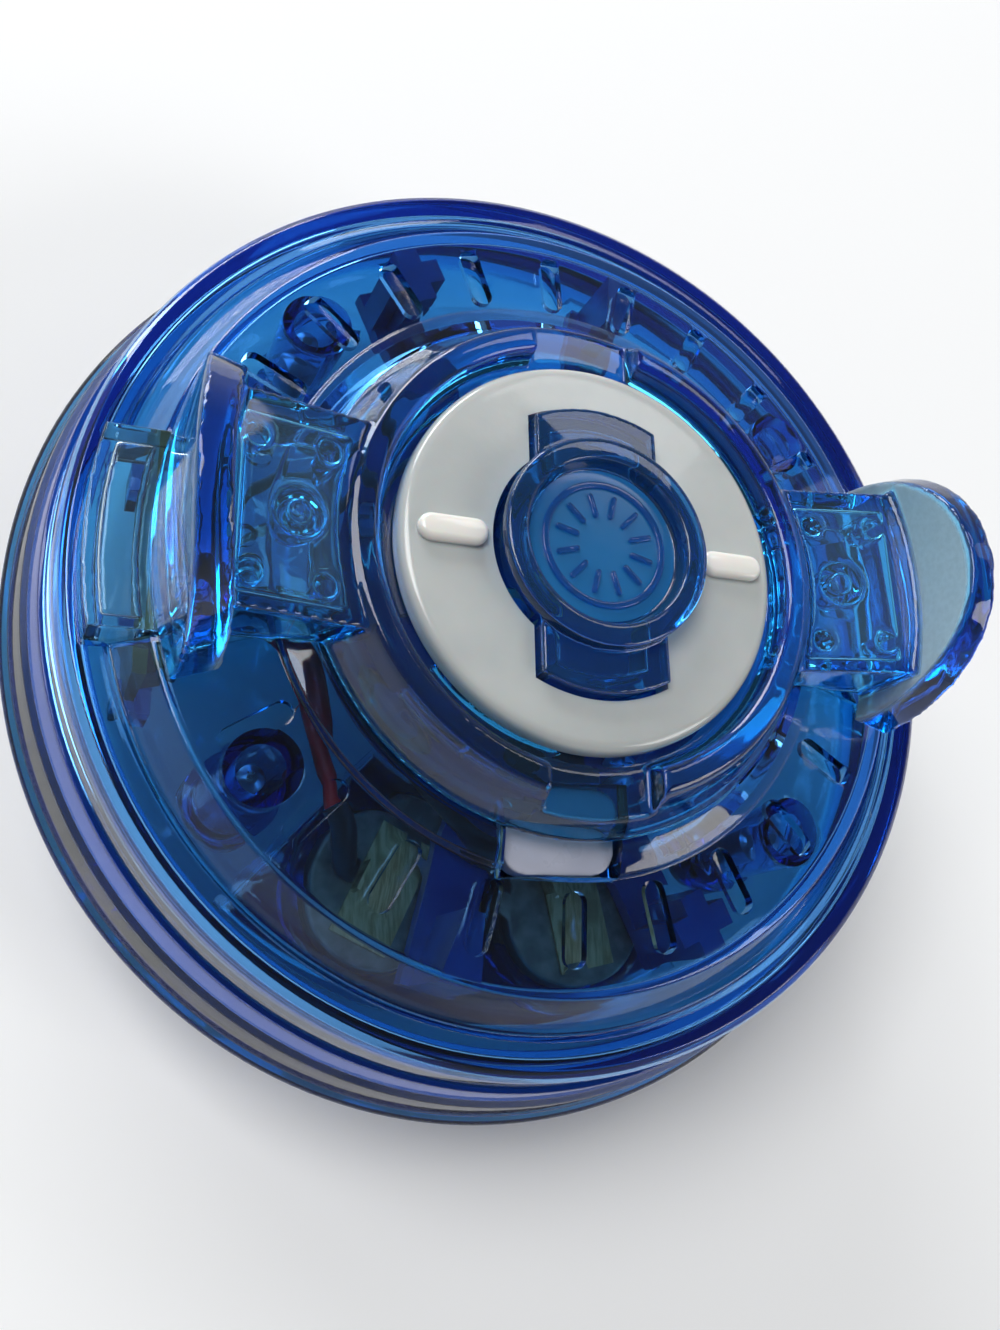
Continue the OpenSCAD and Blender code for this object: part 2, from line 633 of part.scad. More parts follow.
// White ring that turns to free the wing ring, with two finger ribs on its face
rib_in = core_r + 0.6;
rib_out = lock_r - 1.2;
rib_w = 2;
rib_h = 0.8;
lock_edge_steps = 8;
module lock_ring() {
    color("#e6e8e4") difference() {
        union() {
            rotate_extrude() polygon(concat(
                [[core_r - 1, lock_under], [lock_r, lock_under]],
                [for (i = [0:lock_edge_steps])
                    [lock_r - lock_round, lock_z - lock_round] + at(lock_round, 90 * i / lock_edge_steps)],
                [[core_r - 1, lock_z]]));
            translate([0, 0, bayonet_z]) pipe(skirt_r, skirt_r - skirt_t, lock_under - bayonet_z + root);
            translate([0, 0, bayonet_z]) both_sides()
                sector(skirt_r - skirt_t / 2, bayonet_r, 0, bayonet_half, bayonet_t);
            both_sides() translate([(rib_in + rib_out) / 2, 0, lock_z - root])
                linear_extrude(rib_h + root) polygon(stadium(rib_out - rib_in, rib_w));
        }
        translate([0, 0, lock_under - 1]) cylinder(r = core_r + slide_gap, h = lock_h + 3);
        translate([0, 0, lock_under - 1]) lug_block(lug_w + 0.25, lug_r + 0.35, lock_h + 3);
    }
}
module lug_block(half, r, h) {
    intersection() {
        cylinder(r = r, h = h);
        translate([-half, -r, 0]) cube([2 * half, 2 * r, h]);
    }
}

// Core seated in the lock ring by its flange and keyed by two lugs, with a collar for the launcher
// and a plain dial in its recess
core_neck = 0.5;
dial_r = recess_r - 1.4;
dial_w = 0.5;
dial_h = 0.3;
dial_marks = 12;
module core_cap() {
    color("#0c3aa8d8") {
        difference() {
            union() {
                translate([0, 0, core_flange_z])
                    cylinder(r = skirt_r - skirt_t - slide_gap, h = lock_under - seat_gap - core_flange_z);
                translate([0, 0, core_flange_z])
                    cylinder(r = core_r - core_neck, h = core_top - core_flange_z);
                translate([0, 0, collar_base]) cylinder(r = core_r, h = core_top - collar_base);
                translate([0, 0, core_flange_z]) lug_block(lug_w, lug_r, lug_top - core_flange_z);
            }
            translate([0, 0, core_top - recess_h])
                cylinder(r1 = recess_r - 0.3, r2 = recess_r + 0.1, h = recess_h + 0.01);
        }
        translate([0, 0, core_top - recess_h - root]) {
            pipe(dial_r, dial_r - dial_w, dial_h + root);
            cylinder(r = dial_w * 2, h = dial_h + root);
            for (k = [0:dial_marks - 1]) rotate(360 * k / dial_marks)
                translate([dial_r * 0.45, -dial_w / 2, 0]) cube([dial_r * 0.35, dial_w, dial_h + root]);
        }
    }
}

module power_button() {
    color("#dfe0ea") {
        translate([button_x, -(button_in + button_out) / 2, button_top - 1.8])
            linear_extrude(1.8) polygon(round_rect(button_w, button_out - button_in, 1.2));
        translate([button_x - button_w / 2 + 1, -button_in - 1.4, button_top - 3])
            cube([button_w - 2, 2.6, 2.4 - hub_rise / 2]);
        translate([-button_stem_half, switch_y - 1, button_foot_z])
            cube([2 * button_stem_half, 2, button_top - 2.4 - button_foot_z]);
    }
}
module switch_body() {
    color("#22252a") difference() {
        translate([-switch_half, switch_y - switch_half, frame_top + seat_gap])
            cube([2 * switch_half, 2 * switch_half, switch_top - frame_top - seat_gap]);
        translate([0, switch_y, switch_top - 2.2]) cylinder(r = plunger_r + bush_gap, h = 3);
    }
}
module switch_plunger() {
    color("#e0e0dc") translate([0, switch_y, switch_top - 1.1])
        cylinder(r = plunger_r, h = button_foot_z - switch_top + 1.1 - seat_gap);
}

module sensor_window() {
    color("#cfe2f4a0") translate([0, 0, window_base]) difference() {
        window_block(0, window_top - window_base);
        translate([0, 0, -1]) intersection() {
            pipe(window_out - window_wall, window_in + window_wall,
                window_top - window_base + 1 - window_wall);
            translate([-body_r, -window_w + window_wall, 0])
                cube([body_r, 2 * (window_w - window_wall), window_top - window_base + 1]);
        }
    }
}
module circuit_board() {
    color("#5d6a2c") translate([board_x - board_t, -board_half, board_base])
        cube([board_t, 2 * board_half, board_top - board_base]);
}
module infrared_receiver() {
    color("#2a2320") translate([board_x + seat_gap, -board_half + 0.2, board_top - 4.6])
        linear_extrude(4.2) polygon([[0, 0], [1.8, 0.4], [2.4, 1.4], [1.8, 2.4], [0, 2.8]]);
}
chip_size = [1, 2.6, 4];
chip_rise = 5.2;
module control_chip() {
    color("#1c1c20") translate([board_x + seat_gap, board_half - 0.6 - chip_size[1], board_base + chip_rise])
        cube(chip_size);
}

module button_cells() {
    color("#c9c6bb") translate([0, 0, cell_z]) on_ring(cell_ring_r, cell_angles)
        rotate_extrude() polygon([[0, 0], [cell_r - 0.9, 0], [cell_r - 0.6, 0.5], [cell_r, 0.6],
            [cell_r, cell_h], [0, cell_h]]);
}
bridge_half = 2;
bridge_over = 4;
module bridge_plate(gap, h) {
    sector(cell_ring_r - bridge_half - gap, cell_ring_r + bridge_half + gap, cell_mid,
        cell_spread / 2 + bridge_over, h);
}
module cell_bridge() {
    color("#c9a550") translate([0, 0, bridge_z]) bridge_plate(0, contact_t);
}
// A leaf on a cell with a solder tab rising at the given place along it
leaf_w = 4.6;
leaf_len = 8.6;
tab_w = 2.4;
tab_h = 2.2;
positive_tab_at = 3.6;
module terminal(angle, tab_at) {
    color("#c9a550") rotate(angle) {
        translate([cell_ring_r - leaf_len / 2, -leaf_w / 2, terminal_z]) cube([leaf_len, leaf_w, contact_t]);
        translate([cell_ring_r - leaf_len / 2 + tab_at, -leaf_w / 2, terminal_z])
            cube([tab_w, contact_t, tab_h]);
    }
}
module positive_terminal() {
    terminal(cell_angles[1], positive_tab_at);
}
module negative_terminal() {
    terminal(cell_angles[0], 0);
}
strip_angles = [193, 206];
strip_half = 4.6;
module contact_strips() {
    color("#b9974a") translate([0, 0, side_z + 0.3]) for (a = strip_angles)
        sector(inner_r - 0.4, inner_r - 0.1, a, strip_half, parting_z - 2.2 - side_z);
}

module red_wire() {
    color("#b3202a") route_tube(red_route, wire_r);
}
module wire_sleeve() {
    color("#18181a") route_tube(sleeve_route, sleeve_r);
}
module black_wire() {
    color("#202024") route_tube(black_route, wire_r);
}
module motor_leads() {
    color("#3a3a40") for (route = lead_routes) route_tube(route, lead_r);
}

can_wall = 0.5;
magnet_t = 0.7;
air_gap = 0.25;
armature_r = motor_r - can_wall - bush_gap - magnet_t - air_gap;
module motor_can() {
    color("#b4b7bc") translate([0, motor_y, motor_z]) difference() {
        cylinder(r = motor_r, h = motor_len);
        translate([0, 0, can_wall]) cylinder(r = motor_r - can_wall, h = motor_len);
        translate([0, 0, -1]) cylinder(r = motor_shaft_r + bush_gap, h = 3);
    }
}
module motor_end_cap() {
    color("#e2ded2") translate([0, motor_y, motor_top + seat_gap]) difference() {
        union() {
            cylinder(r = motor_r - 0.1, h = motor_cap_h - seat_gap);
            translate([0, 0, -1.2]) cylinder(r = motor_r - can_wall - bush_gap, h = 2);
        }
        translate([0, 0, -2]) cylinder(r = motor_shaft_r + bush_gap, h = 2.6);
    }
}
module motor_magnets() {
    color("#3b3d42") translate([0, motor_y, motor_z + can_wall + 0.8]) both_sides()
        sector(motor_r - can_wall - bush_gap - magnet_t, motor_r - can_wall - bush_gap, 90, 70,
            motor_len - 3.4);
}
module motor_armature() {
    color("#b0703a") translate([0, motor_y, motor_z + can_wall + 1])
        pipe(armature_r, motor_shaft_r, motor_len - 3.8);
}
pinion_z = gear_z - 0.2;
module motor_shaft() {
    color("#d0d2d6") translate([0, motor_y, pinion_z])
        cylinder(r = motor_shaft_r, h = motor_top - 0.8 - pinion_z);
}
module motor_pinion() {
    color("#d6b25a") translate([0, motor_y, pinion_z]) difference() {
        linear_extrude(gear_t + 0.4) rotate(pinion_phase) polygon(gear_points(pinion_teeth, pinion_add));
        translate([0, 0, -1]) cylinder(r = motor_shaft_r, h = gear_t + 3);
    }
}

gear_window_r = 1.7;
module drive_gear() {
    color("#e8e4d8") translate([0, 0, gear_z]) difference() {
        union() {
            linear_extrude(gear_t) polygon(gear_points(gear_teeth, gear_add));
            cylinder(r = upper_bush_r + 1, h = gear_t + 0.2);
        }
        translate([0, 0, -1]) cylinder(r = shaft_r, h = gear_t + 3);
        translate([0, 0, -1]) on_ring(gear_pitch_r - 3.4, [0:72:288])
            cylinder(r = gear_window_r, h = gear_t + 3);
    }
}
shaft_z = tip_h + 2;
module drive_shaft() {
    color("#d0d2d6") translate([0, 0, shaft_z]) cylinder(r = shaft_r, h = frame_top + 0.4 - shaft_z);
}
module thrust_washer() {
    color("#d8d8d8") translate([0, 0, washer_z]) pipe(bush_flange_r - 0.4, shaft_r + bush_gap, washer_t);
}
module lower_bush() {
    color("#b98a48") difference() {
        union() {
            translate([0, 0, bottom_z]) cylinder(r = bush_r, h = bush_top - bottom_z);
            translate([0, 0, bush_seat_z]) cylinder(r = bush_flange_r, h = bush_flange_t);
        }
        translate([0, 0, bottom_z - 1]) cylinder(r = shaft_r + bush_gap, h = bush_top);
    }
}
module upper_bush() {
    color("#b98a48") translate([0, 0, upper_bush_z])
        pipe(upper_bush_r, shaft_r + bush_gap, frame_top - upper_bush_z);
}
stem_r = 2.6;
holder_r = tip_r + 1.4;
module tip_holder() {
    color("#123f9c") rotate_extrude() polygon([
        [stem_r + bush_gap, tip_h + seat_gap], [tip_r, tip_h + seat_gap], [holder_r, tip_h + 1.4],
        [holder_r, holder_top - 0.6], [holder_r - 0.6, holder_top], [shaft_r, holder_top],
        [shaft_r, shaft_z], [stem_r + bush_gap, shaft_z]]);
}
module rubber_tip() {
    color("#26282c") rotate_extrude() polygon([[0, 0], [tip_r - 0.4, 0], [tip_r, 0.5], [tip_r, tip_h],
        [stem_r, tip_h], [stem_r, shaft_z - seat_gap], [0, shaft_z - seat_gap]]);
}

upper_shell();
lower_shell();
battery_hatch();
hatch_screw();
shell_screws();
inner_frame();
frame_screws();
wing_ring();
lock_ring();
core_cap();
power_button();
switch_body();
switch_plunger();
sensor_window();
circuit_board();
infrared_receiver();
control_chip();
button_cells();
cell_bridge();
positive_terminal();
negative_terminal();
contact_strips();
red_wire();
wire_sleeve();
black_wire();
motor_leads();
motor_can();
motor_end_cap();
motor_magnets();
motor_armature();
motor_shaft();
motor_pinion();
drive_gear();
drive_shaft();
thrust_washer();
lower_bush();
upper_bush();
tip_holder();
rubber_tip();
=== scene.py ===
import bpy, bmesh, math
from mathutils import Matrix, Vector


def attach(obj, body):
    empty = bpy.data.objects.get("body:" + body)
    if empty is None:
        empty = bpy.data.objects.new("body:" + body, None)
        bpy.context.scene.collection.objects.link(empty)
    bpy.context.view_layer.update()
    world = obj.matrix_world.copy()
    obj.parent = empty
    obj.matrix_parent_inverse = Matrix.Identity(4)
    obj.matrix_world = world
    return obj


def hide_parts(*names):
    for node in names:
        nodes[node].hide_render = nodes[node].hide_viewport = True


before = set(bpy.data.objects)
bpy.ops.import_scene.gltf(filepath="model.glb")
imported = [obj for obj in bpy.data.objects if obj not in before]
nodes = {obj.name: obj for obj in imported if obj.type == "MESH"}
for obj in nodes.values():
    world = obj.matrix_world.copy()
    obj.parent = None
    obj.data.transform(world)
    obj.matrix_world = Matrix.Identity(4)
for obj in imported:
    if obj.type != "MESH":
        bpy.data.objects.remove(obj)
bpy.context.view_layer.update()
scene = bpy.context.scene
scene.view_settings.view_transform = "Standard"
mm = 0.001
print("frame loaded:", len(nodes), "nodes")


# materials: every finish reads Object coordinates, which are the frame's own metres

def openFinish(mat):
    return mat.node_tree, mat.node_tree.nodes["Principled BSDF"]

def newFinish(name, colour, rough, **sockets):
    mat = bpy.data.materials.new(name)
    mat.use_nodes = True
    tree, shader = openFinish(mat)
    shader.inputs["Base Color"].default_value = (*colour, 1)
    shader.inputs["Roughness"].default_value = rough
    for key, value in sockets.items():
        shader.inputs[key.replace("_", " ")].default_value = value
    return mat, tree, shader

def noiseNode(tree, scale, detail=3.0, stretch=(1, 1, 1)):
    coords = tree.nodes.new("ShaderNodeTexCoord")
    mapping = tree.nodes.new("ShaderNodeMapping")
    mapping.inputs["Scale"].default_value = stretch
    noise = tree.nodes.new("ShaderNodeTexNoise")
    noise.inputs["Scale"].default_value = scale
    noise.inputs["Detail"].default_value = detail
    tree.links.new(coords.outputs["Object"], mapping.inputs["Vector"])
    tree.links.new(mapping.outputs["Vector"], noise.inputs["Vector"])
    return noise

def addBump(tree, shader, noise, strength, distance):
    bump = tree.nodes.new("ShaderNodeBump")
    bump.inputs["Strength"].default_value = strength
    bump.inputs["Distance"].default_value = distance
    tree.links.new(noise.outputs["Fac"], bump.inputs["Height"])
    tree.links.new(bump.outputs["Normal"], shader.inputs["Normal"])

def spreadTo(tree, value, low, high, socket):
    spread = tree.nodes.new("ShaderNodeMapRange")
    spread.inputs["To Min"].default_value = low
    spread.inputs["To Max"].default_value = high
    tree.links.new(value, spread.inputs["Value"])
    tree.links.new(spread.outputs["Result"], socket)

def varyRough(tree, shader, noise, low, high):
    spreadTo(tree, noise.outputs["Fac"], low, high, shader.inputs["Roughness"])

def varyColour(tree, shader, noise, dark, light, start=0.35, stop=0.65):
    ramp = tree.nodes.new("ShaderNodeValToRGB")
    for point, place, colour in zip(ramp.color_ramp.elements, (start, stop), (dark, light)):
        point.position = place
        point.color = (*colour, 1)
    tree.links.new(noise.outputs["Fac"], ramp.inputs["Fac"])
    tree.links.new(ramp.outputs["Color"], shader.inputs["Base Color"])

# a second colour over the one that the shader already reads; its socket B takes that colour
def blendColour(tree, shader, factor, ground):
    blend = tree.nodes.new("ShaderNodeMix")
    blend.data_type = "RGBA"
    tree.links.new(factor, blend.inputs["Factor"])
    tree.links.new(ground, blend.inputs["A"])
    tree.links.new(blend.outputs["Result"], shader.inputs["Base Color"])
    return blend

# clear moulded plastic: a tinted volume, so thick edges go deep and thin walls stay pale
def clearPlastic(name, skin, clearShare, tint, density, rough, ior=1.5, wave=0.06, shade=0.95):
    mat, tree, shader = newFinish(name, skin, rough, Transmission_Weight=clearShare, IOR=ior)
    varyColour(tree, shader, noiseNode(tree, scale=45), tuple(shade * c for c in skin), skin)
    addBump(tree, shader, noiseNode(tree, scale=120, detail=1.0), strength=wave, distance=0.0002)
    varyRough(tree, shader, noiseNode(tree, scale=900), low=rough * 0.6, high=rough * 1.8)
    volume = tree.nodes.new("ShaderNodeVolumeAbsorption")
    volume.inputs["Color"].default_value = (*tint, 1)
    volume.inputs["Density"].default_value = density
    tree.links.new(volume.outputs["Volume"], tree.nodes["Material Output"].inputs["Volume"])
    return mat

# the wings' inner faces are made rougher and less clear where the mesh carries the attribute read below, and there
# take a pale grey that is a painted reflection of the sky and ceiling
def frostPanelsWithPaintedSheen(mat, colour, clearShare, rough, plainRough=0.02, grain=2200, shade=0.88):
    tree, shader = openFinish(mat)
    skin = shader.inputs["Base Color"].links[0].from_socket
    plainShare = shader.inputs["Transmission Weight"].default_value
    frostAndPaintedSheen = tree.nodes.new("ShaderNodeAttribute")
    frostAndPaintedSheen.attribute_name = "frostAndPaintedSheen"
    amount = frostAndPaintedSheen.outputs["Fac"]
    spreadTo(tree, amount, plainShare, clearShare, shader.inputs["Transmission Weight"])
    spreadTo(tree, amount, plainRough, rough, shader.inputs["Roughness"])
    varyColour(tree, shader, noiseNode(tree, grain), tuple(shade * c for c in colour), colour)
    # pale grey tone: painted reflection of the sky, blended in by the attribute
    paintedSheenTone = shader.inputs["Base Color"].links[0].from_socket
    tree.links.new(paintedSheenTone, blendColour(tree, shader, amount, skin).inputs["B"])

def mouldedPlastic(name, dark, light, rough, grain=1500, **sockets):
    mat, tree, shader = newFinish(name, light, rough, **sockets)
    varyColour(tree, shader, noiseNode(tree, scale=160), dark, light)
    varyRough(tree, shader, noiseNode(tree, scale=600), low=rough * 0.8, high=rough * 1.25)
    addBump(tree, shader, noiseNode(tree, grain), strength=0.08, distance=0.0001)
    return mat

# a paler tone on what stands above a height, as on the finger ribs of the lock ring
def raiseTone(mat, low, high, colour):
    tree, shader = openFinish(mat)
    ground = shader.inputs["Base Color"].links[0].from_socket
    coords = tree.nodes.new("ShaderNodeTexCoord")
    split = tree.nodes.new("ShaderNodeSeparateXYZ")
    spread = tree.nodes.new("ShaderNodeMapRange")
    spread.inputs["From Min"].default_value = low
    spread.inputs["From Max"].default_value = high
    tree.links.new(coords.outputs["Object"], split.inputs["Vector"])
    tree.links.new(split.outputs["Z"], spread.inputs["Value"])
    blend = blendColour(tree, shader, spread.outputs["Result"], ground)
    blend.inputs["B"].default_value = (*colour, 1)

def platedMetal(name, dark, light, rough, stretch=(1, 1, 1)):
    mat, tree, shader = newFinish(name, light, rough, Metallic=1.0)
    brushed = noiseNode(tree, scale=700, detail=4.0, stretch=stretch)
    varyColour(tree, shader, brushed, dark, light)
    varyRough(tree, shader, noiseNode(tree, scale=350), low=rough * 0.7, high=rough * 1.5)
    addBump(tree, shader, brushed, strength=0.06, distance=0.00005)
    return mat

# skin, clear share, tint of the volume, its density, roughness
clearSet = {
    "deckBlue": ((0.68, 0.81, 0.95), 0.995, (0.22, 0.66, 0.91), 560, 0.03),
    "baseBlue": ((0.36, 0.70, 0.93), 0.99, (0.04, 0.71, 0.91), 950, 0.03),
    "wingBlue": ((0.40, 0.74, 0.97), 0.985, (0.04, 0.77, 0.965), 320, 0.015),
    "coreBlue": ((0.12, 0.44, 0.97), 0.94, (0.06, 0.78, 0.955), 250, 0.015),
    "dialBlue": ((0.03, 0.25, 0.60), 0.5, (0.05, 0.6, 0.95), 300, 0.12),
    "windowClear": ((0.90, 0.95, 0.98), 0.98, (0.35, 0.78, 0.97), 200, 0.03),
}

# dark tone, light tone, roughness
mouldedSet = {
    "frameBlue": ((0.004, 0.05, 0.27), (0.01, 0.09, 0.40), 0.22),
    "milkWhite": ((0.45, 0.475, 0.47), (0.50, 0.52, 0.51), 0.16),
    # the white button's grey-lilac tone is painted shade with a painted blue reflection
    "buttonWhite": ((0.36, 0.375, 0.46), (0.43, 0.445, 0.53), 0.28),
    "nylon": ((0.68, 0.66, 0.58), (0.78, 0.76, 0.69), 0.4),
    "blackPlastic": ((0.012, 0.012, 0.014), (0.03, 0.03, 0.034), 0.35),
    "boardOlive": ((0.09, 0.11, 0.02), (0.20, 0.21, 0.05), 0.35),
    "redWire": ((0.62, 0.01, 0.014), (0.82, 0.018, 0.022), 0.35),
    "blackWire": ((0.01, 0.01, 0.012), (0.025, 0.025, 0.028), 0.4),
    "greyWire": ((0.05, 0.05, 0.055), (0.09, 0.09, 0.1), 0.4),
    "rubber": ((0.012, 0.012, 0.013), (0.03, 0.03, 0.032), 0.7),
    "ferrite": ((0.03, 0.03, 0.034), (0.06, 0.06, 0.065), 0.5),
}
mouldedExtra = {
    "milkWhite": {"Subsurface_Weight": 0.25, "Subsurface_Scale": 0.002, "Coat_Weight": 0.3},
    "rubber": {"grain": 2600},
}

# dark tone, light tone, roughness, stretch of the brushing
platedSet = {
    "steel": ((0.50, 0.51, 0.53), (0.70, 0.71, 0.73), 0.28),
    "cellGrey": ((0.26, 0.24, 0.20), (0.44, 0.41, 0.34), 0.5, (1, 1, 12)),
    "paleGold": ((0.64, 0.43, 0.18), (1.0, 0.76, 0.40), 0.52, (5, 0.6, 1)),
    "brass": ((0.55, 0.38, 0.13), (0.82, 0.63, 0.28), 0.26),
    "copper": ((0.35, 0.13, 0.05), (0.62, 0.28, 0.12), 0.35, (1, 1, 20)),
}

finishes = {name: clearPlastic(name, *values) for name, values in clearSet.items()}
for name, values in mouldedSet.items():
    finishes[name] = mouldedPlastic(name, *values, **mouldedExtra.get(name, {}))
for name, values in platedSet.items():
    finishes[name] = platedMetal(name, *values)
# pale grey on the wings' inner faces and thinly on the arm tops: painted reflection of sky and window, on a rougher
# finish
frostPanelsWithPaintedSheen(finishes["wingBlue"], colour=(0.36, 0.43, 0.47), clearShare=0.35, rough=0.32)
raiseTone(finishes["milkWhite"], low=0.03325, high=0.0336, colour=(0.80, 0.78, 0.73))
print("finishes:", len(finishes))


# mesh helpers: everything is written in millimetres and stored in metres

def newObject(name, data):
    obj = bpy.data.objects.new(name, data)
    scene.collection.objects.link(obj)
    return obj

def refinish(obj, sharp):
    mesh = obj.data
    mesh.polygons.foreach_set("use_smooth", [True] * len(mesh.polygons))
    mesh.set_sharp_from_angle(angle=math.radians(sharp))
    return obj

def closeSeams(bm, weld=1e-6):
    bmesh.ops.remove_doubles(bm, verts=bm.verts, dist=weld)
    bmesh.ops.recalc_face_normals(bm, faces=bm.faces)

def fromBmesh(name, bm, finish, sharp=38):
    closeSeams(bm)
    mesh = bpy.data.meshes.new(name)
    bm.to_mesh(mesh)
    bm.free()
    mesh.materials.append(finishes[finish])
    return refinish(newObject(name, mesh), sharp)

# rounds the corners of a closed profile of (r, z, fillet) and splits its long sides
def roundLoop(points, steps=4, longest=0.8, straight=3.1, sideShare=0.45):
    loop = []
    for i, (r, z, fillet) in enumerate(points):
        here = Vector((r, z))
        before = Vector(points[i - 1][:2]) - here
        after = Vector(points[(i + 1) % len(points)][:2]) - here
        angle = before.angle(after)
        if fillet <= 0 or angle > straight:
            loop.append((r, z))
            continue
        reach = min(fillet / math.tan(angle / 2), sideShare * before.length, sideShare * after.length)
        a, b = here + before.normalized() * reach, here + after.normalized() * reach
        for s in range(steps + 1):
            t = s / steps
            p = a * (1 - t) ** 2 + here * 2 * t * (1 - t) + b * t * t
            loop.append((p.x, p.y))
    rows = []
    for (r0, z0), (r1, z1) in zip(loop, loop[1:] + loop[:1]):
        count = max(1, math.ceil(math.hypot(r1 - r0, z1 - z0) / longest))
        rows += [(r0 + (r1 - r0) * k / count, z0 + (z1 - z0) * k / count) for k in range(count)]
    return rows

def lathe(name, points, finish, segs=144, centre=(0, 0), axisR=1e-6):
    bm = bmesh.new()
    rows = []
    for r, z in roundLoop(points):
        turns = [2 * math.pi * k / segs for k in range(1 if r < axisR else segs)]
        rows.append([bm.verts.new(((centre[0] + r * math.cos(a)) * mm,
                                   (centre[1] + r * math.sin(a)) * mm, z * mm)) for a in turns])
    for i, row in enumerate(rows):
        other = rows[(i + 1) % len(rows)]
        for k in range(segs):
            n = k + 1
            ring = [row[k % len(row)], row[n % len(row)], other[n % len(other)], other[k % len(other)]]
            corners = list(dict.fromkeys(ring))
            if len(corners) > 2:
                bm.faces.new(corners)
    return fromBmesh(name, bm, finish)

def tube(rIn, rOut, low, high, foot=0, head=0):
    return [(rIn, low, foot), (rOut, low, foot), (rOut, high, head), (rIn, high, head)]

def loft(name, first, last, finish):
    bm = bmesh.new()
    start, end = ([bm.verts.new([c * mm for c in p]) for p in loop] for loop in (first, last))
    bm.faces.new(start[::-1])
    bm.faces.new(end)
    for k in range(len(start)):
        n = (k + 1) % len(start)
        bm.faces.new((start[k], start[n], end[n], end[k]))
    return fromBmesh(name, bm, finish)

def prism(name, outline, low, high, finish):
    return loft(name, [(x, y, low) for x, y in outline], [(x, y, high) for x, y in outline], finish)

def polar(r, degrees):
    return (r * math.cos(math.radians(degrees)), r * math.sin(math.radians(degrees)))

def ringPoints(r, angles):
    return [polar(r, a) for a in angles]

def disc(r, centre=(0, 0), count=48):
    return [(centre[0] + x, centre[1] + y) for x, y in (polar(r, 360 * k / count) for k in range(count))]

def pegs(name, spots, finish, r, low, high, count):
    return [prism(name, disc(r, spot, count), low, high, finish) for spot in spots]

def rect(x0, y0, x1, y1):
    return [(x0, y0), (x1, y0), (x1, y1), (x0, y1)]

def stadium(length, width, count=10):
    ends = []
    for side in (1, -1):
        for k in range(count + 1):
            x, y = polar(width / 2, -90 + 180 * k / count)
            ends.append((side * (length / 2 - width / 2 + x), side * y))
    return ends

def sector(rIn, rOut, mid, half, count=24):
    steps = [mid - half + 2 * half * k / count for k in range(count + 1)]
    return [polar(rOut, a) for a in steps] + [polar(rIn, a) for a in reversed(steps)]

def roundRect(wide, deep, r, x, y, count=8):
    across, along = wide / 2 - r, deep / 2 - r
    corners = [(across, along, 0), (-across, along, 90), (-across, -along, 180), (across, -along, 270)]
    return [(x + cx + px, y + cy + py) for cx, cy, start in corners
            for px, py in (polar(r, start + 90 * k / count) for k in range(count + 1))]

def moved(obj, matrix):
    obj.data.transform(matrix)
    return obj

def turned(obj, angle, axis="Z"):
    return moved(obj, Matrix.Rotation(angle, 4, axis))

def halfTurn(make):
    return [make(), turned(make(), math.pi)]

def applied(obj):
    bpy.context.view_layer.update()
    finished = obj.evaluated_get(bpy.context.evaluated_depsgraph_get())
    mesh = bpy.data.meshes.new_from_object(finished)
    obj.modifiers.clear()
    obj.data = mesh
    return obj

def carve(target, tools, how):
    for tool in tools:
        step = target.modifiers.new("carve", "BOOLEAN")
        step.operation, step.solver, step.object = how, "MANIFOLD", tool
        applied(target)
        bpy.data.objects.remove(tool)
    return target

def cut(target, *tools):
    return carve(target, tools, "DIFFERENCE")

def add(target, *tools):
    return carve(target, tools, "UNION")

def keep(target, *tools):
    return carve(target, tools, "INTERSECT")

# voxel remesh and a few smoothing passes: the soft moulded edge of clear plastic
def soften(obj, voxel, passes, factor=0.5, sharp=60):
    step = obj.modifiers.new("voxels", "REMESH")
    step.mode, step.voxel_size, step.use_smooth_shade = "VOXEL", voxel * mm, True
    relax = obj.modifiers.new("relax", "SMOOTH")
    relax.iterations, relax.factor = passes, factor
    return refinish(applied(obj), sharp)

def bevelled(obj, width, limit=50, segments=2, sharp=30):
    step = obj.modifiers.new("edge", "BEVEL")
    step.width, step.segments, step.limit_method = width * mm, segments, "ANGLE"
    step.angle_limit = math.radians(limit)
    return refinish(applied(obj), sharp)

def seat(obj, body, slot, *replaced):
    if replaced:
        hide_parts(*replaced)
    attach(obj, body)
    return obj


# node trees: copies on a ring of points or at given spots, and tubes along a route

def newTree(name, sizes):
    tree = bpy.data.node_groups.new(name + "Tree", "GeometryNodeTree")
    tree.interface.new_socket("Geometry", in_out="INPUT", socket_type="NodeSocketGeometry")
    for label, (kind, _) in sizes.items():
        tree.interface.new_socket(label, in_out="INPUT", socket_type="NodeSocket" + kind)
    tree.interface.new_socket("Geometry", in_out="OUTPUT", socket_type="NodeSocketGeometry")
    return tree, tree.nodes.new("NodeGroupInput"), tree.nodes.new("NodeGroupOutput")

# every tree ends in real geometry with its finish
def closeTree(tree, geometry, result, finish):
    realize = tree.nodes.new("GeometryNodeRealizeInstances")
    paint = tree.nodes.new("GeometryNodeSetMaterial")
    paint.inputs["Material"].default_value = finishes[finish]
    tree.links.new(geometry, realize.inputs["Geometry"])
    tree.links.new(realize.outputs["Geometry"], paint.inputs["Geometry"])
    tree.links.new(paint.outputs["Geometry"], result.inputs["Geometry"])

def runTree(obj, tree, sizes):
    modifier = obj.modifiers.new(obj.name, "NODES")
    modifier.node_group = tree
    for item in tree.interface.items_tree:
        if item.in_out == "INPUT" and item.name in sizes:
            modifier[item.identifier] = sizes[item.name][1]
    return applied(obj)

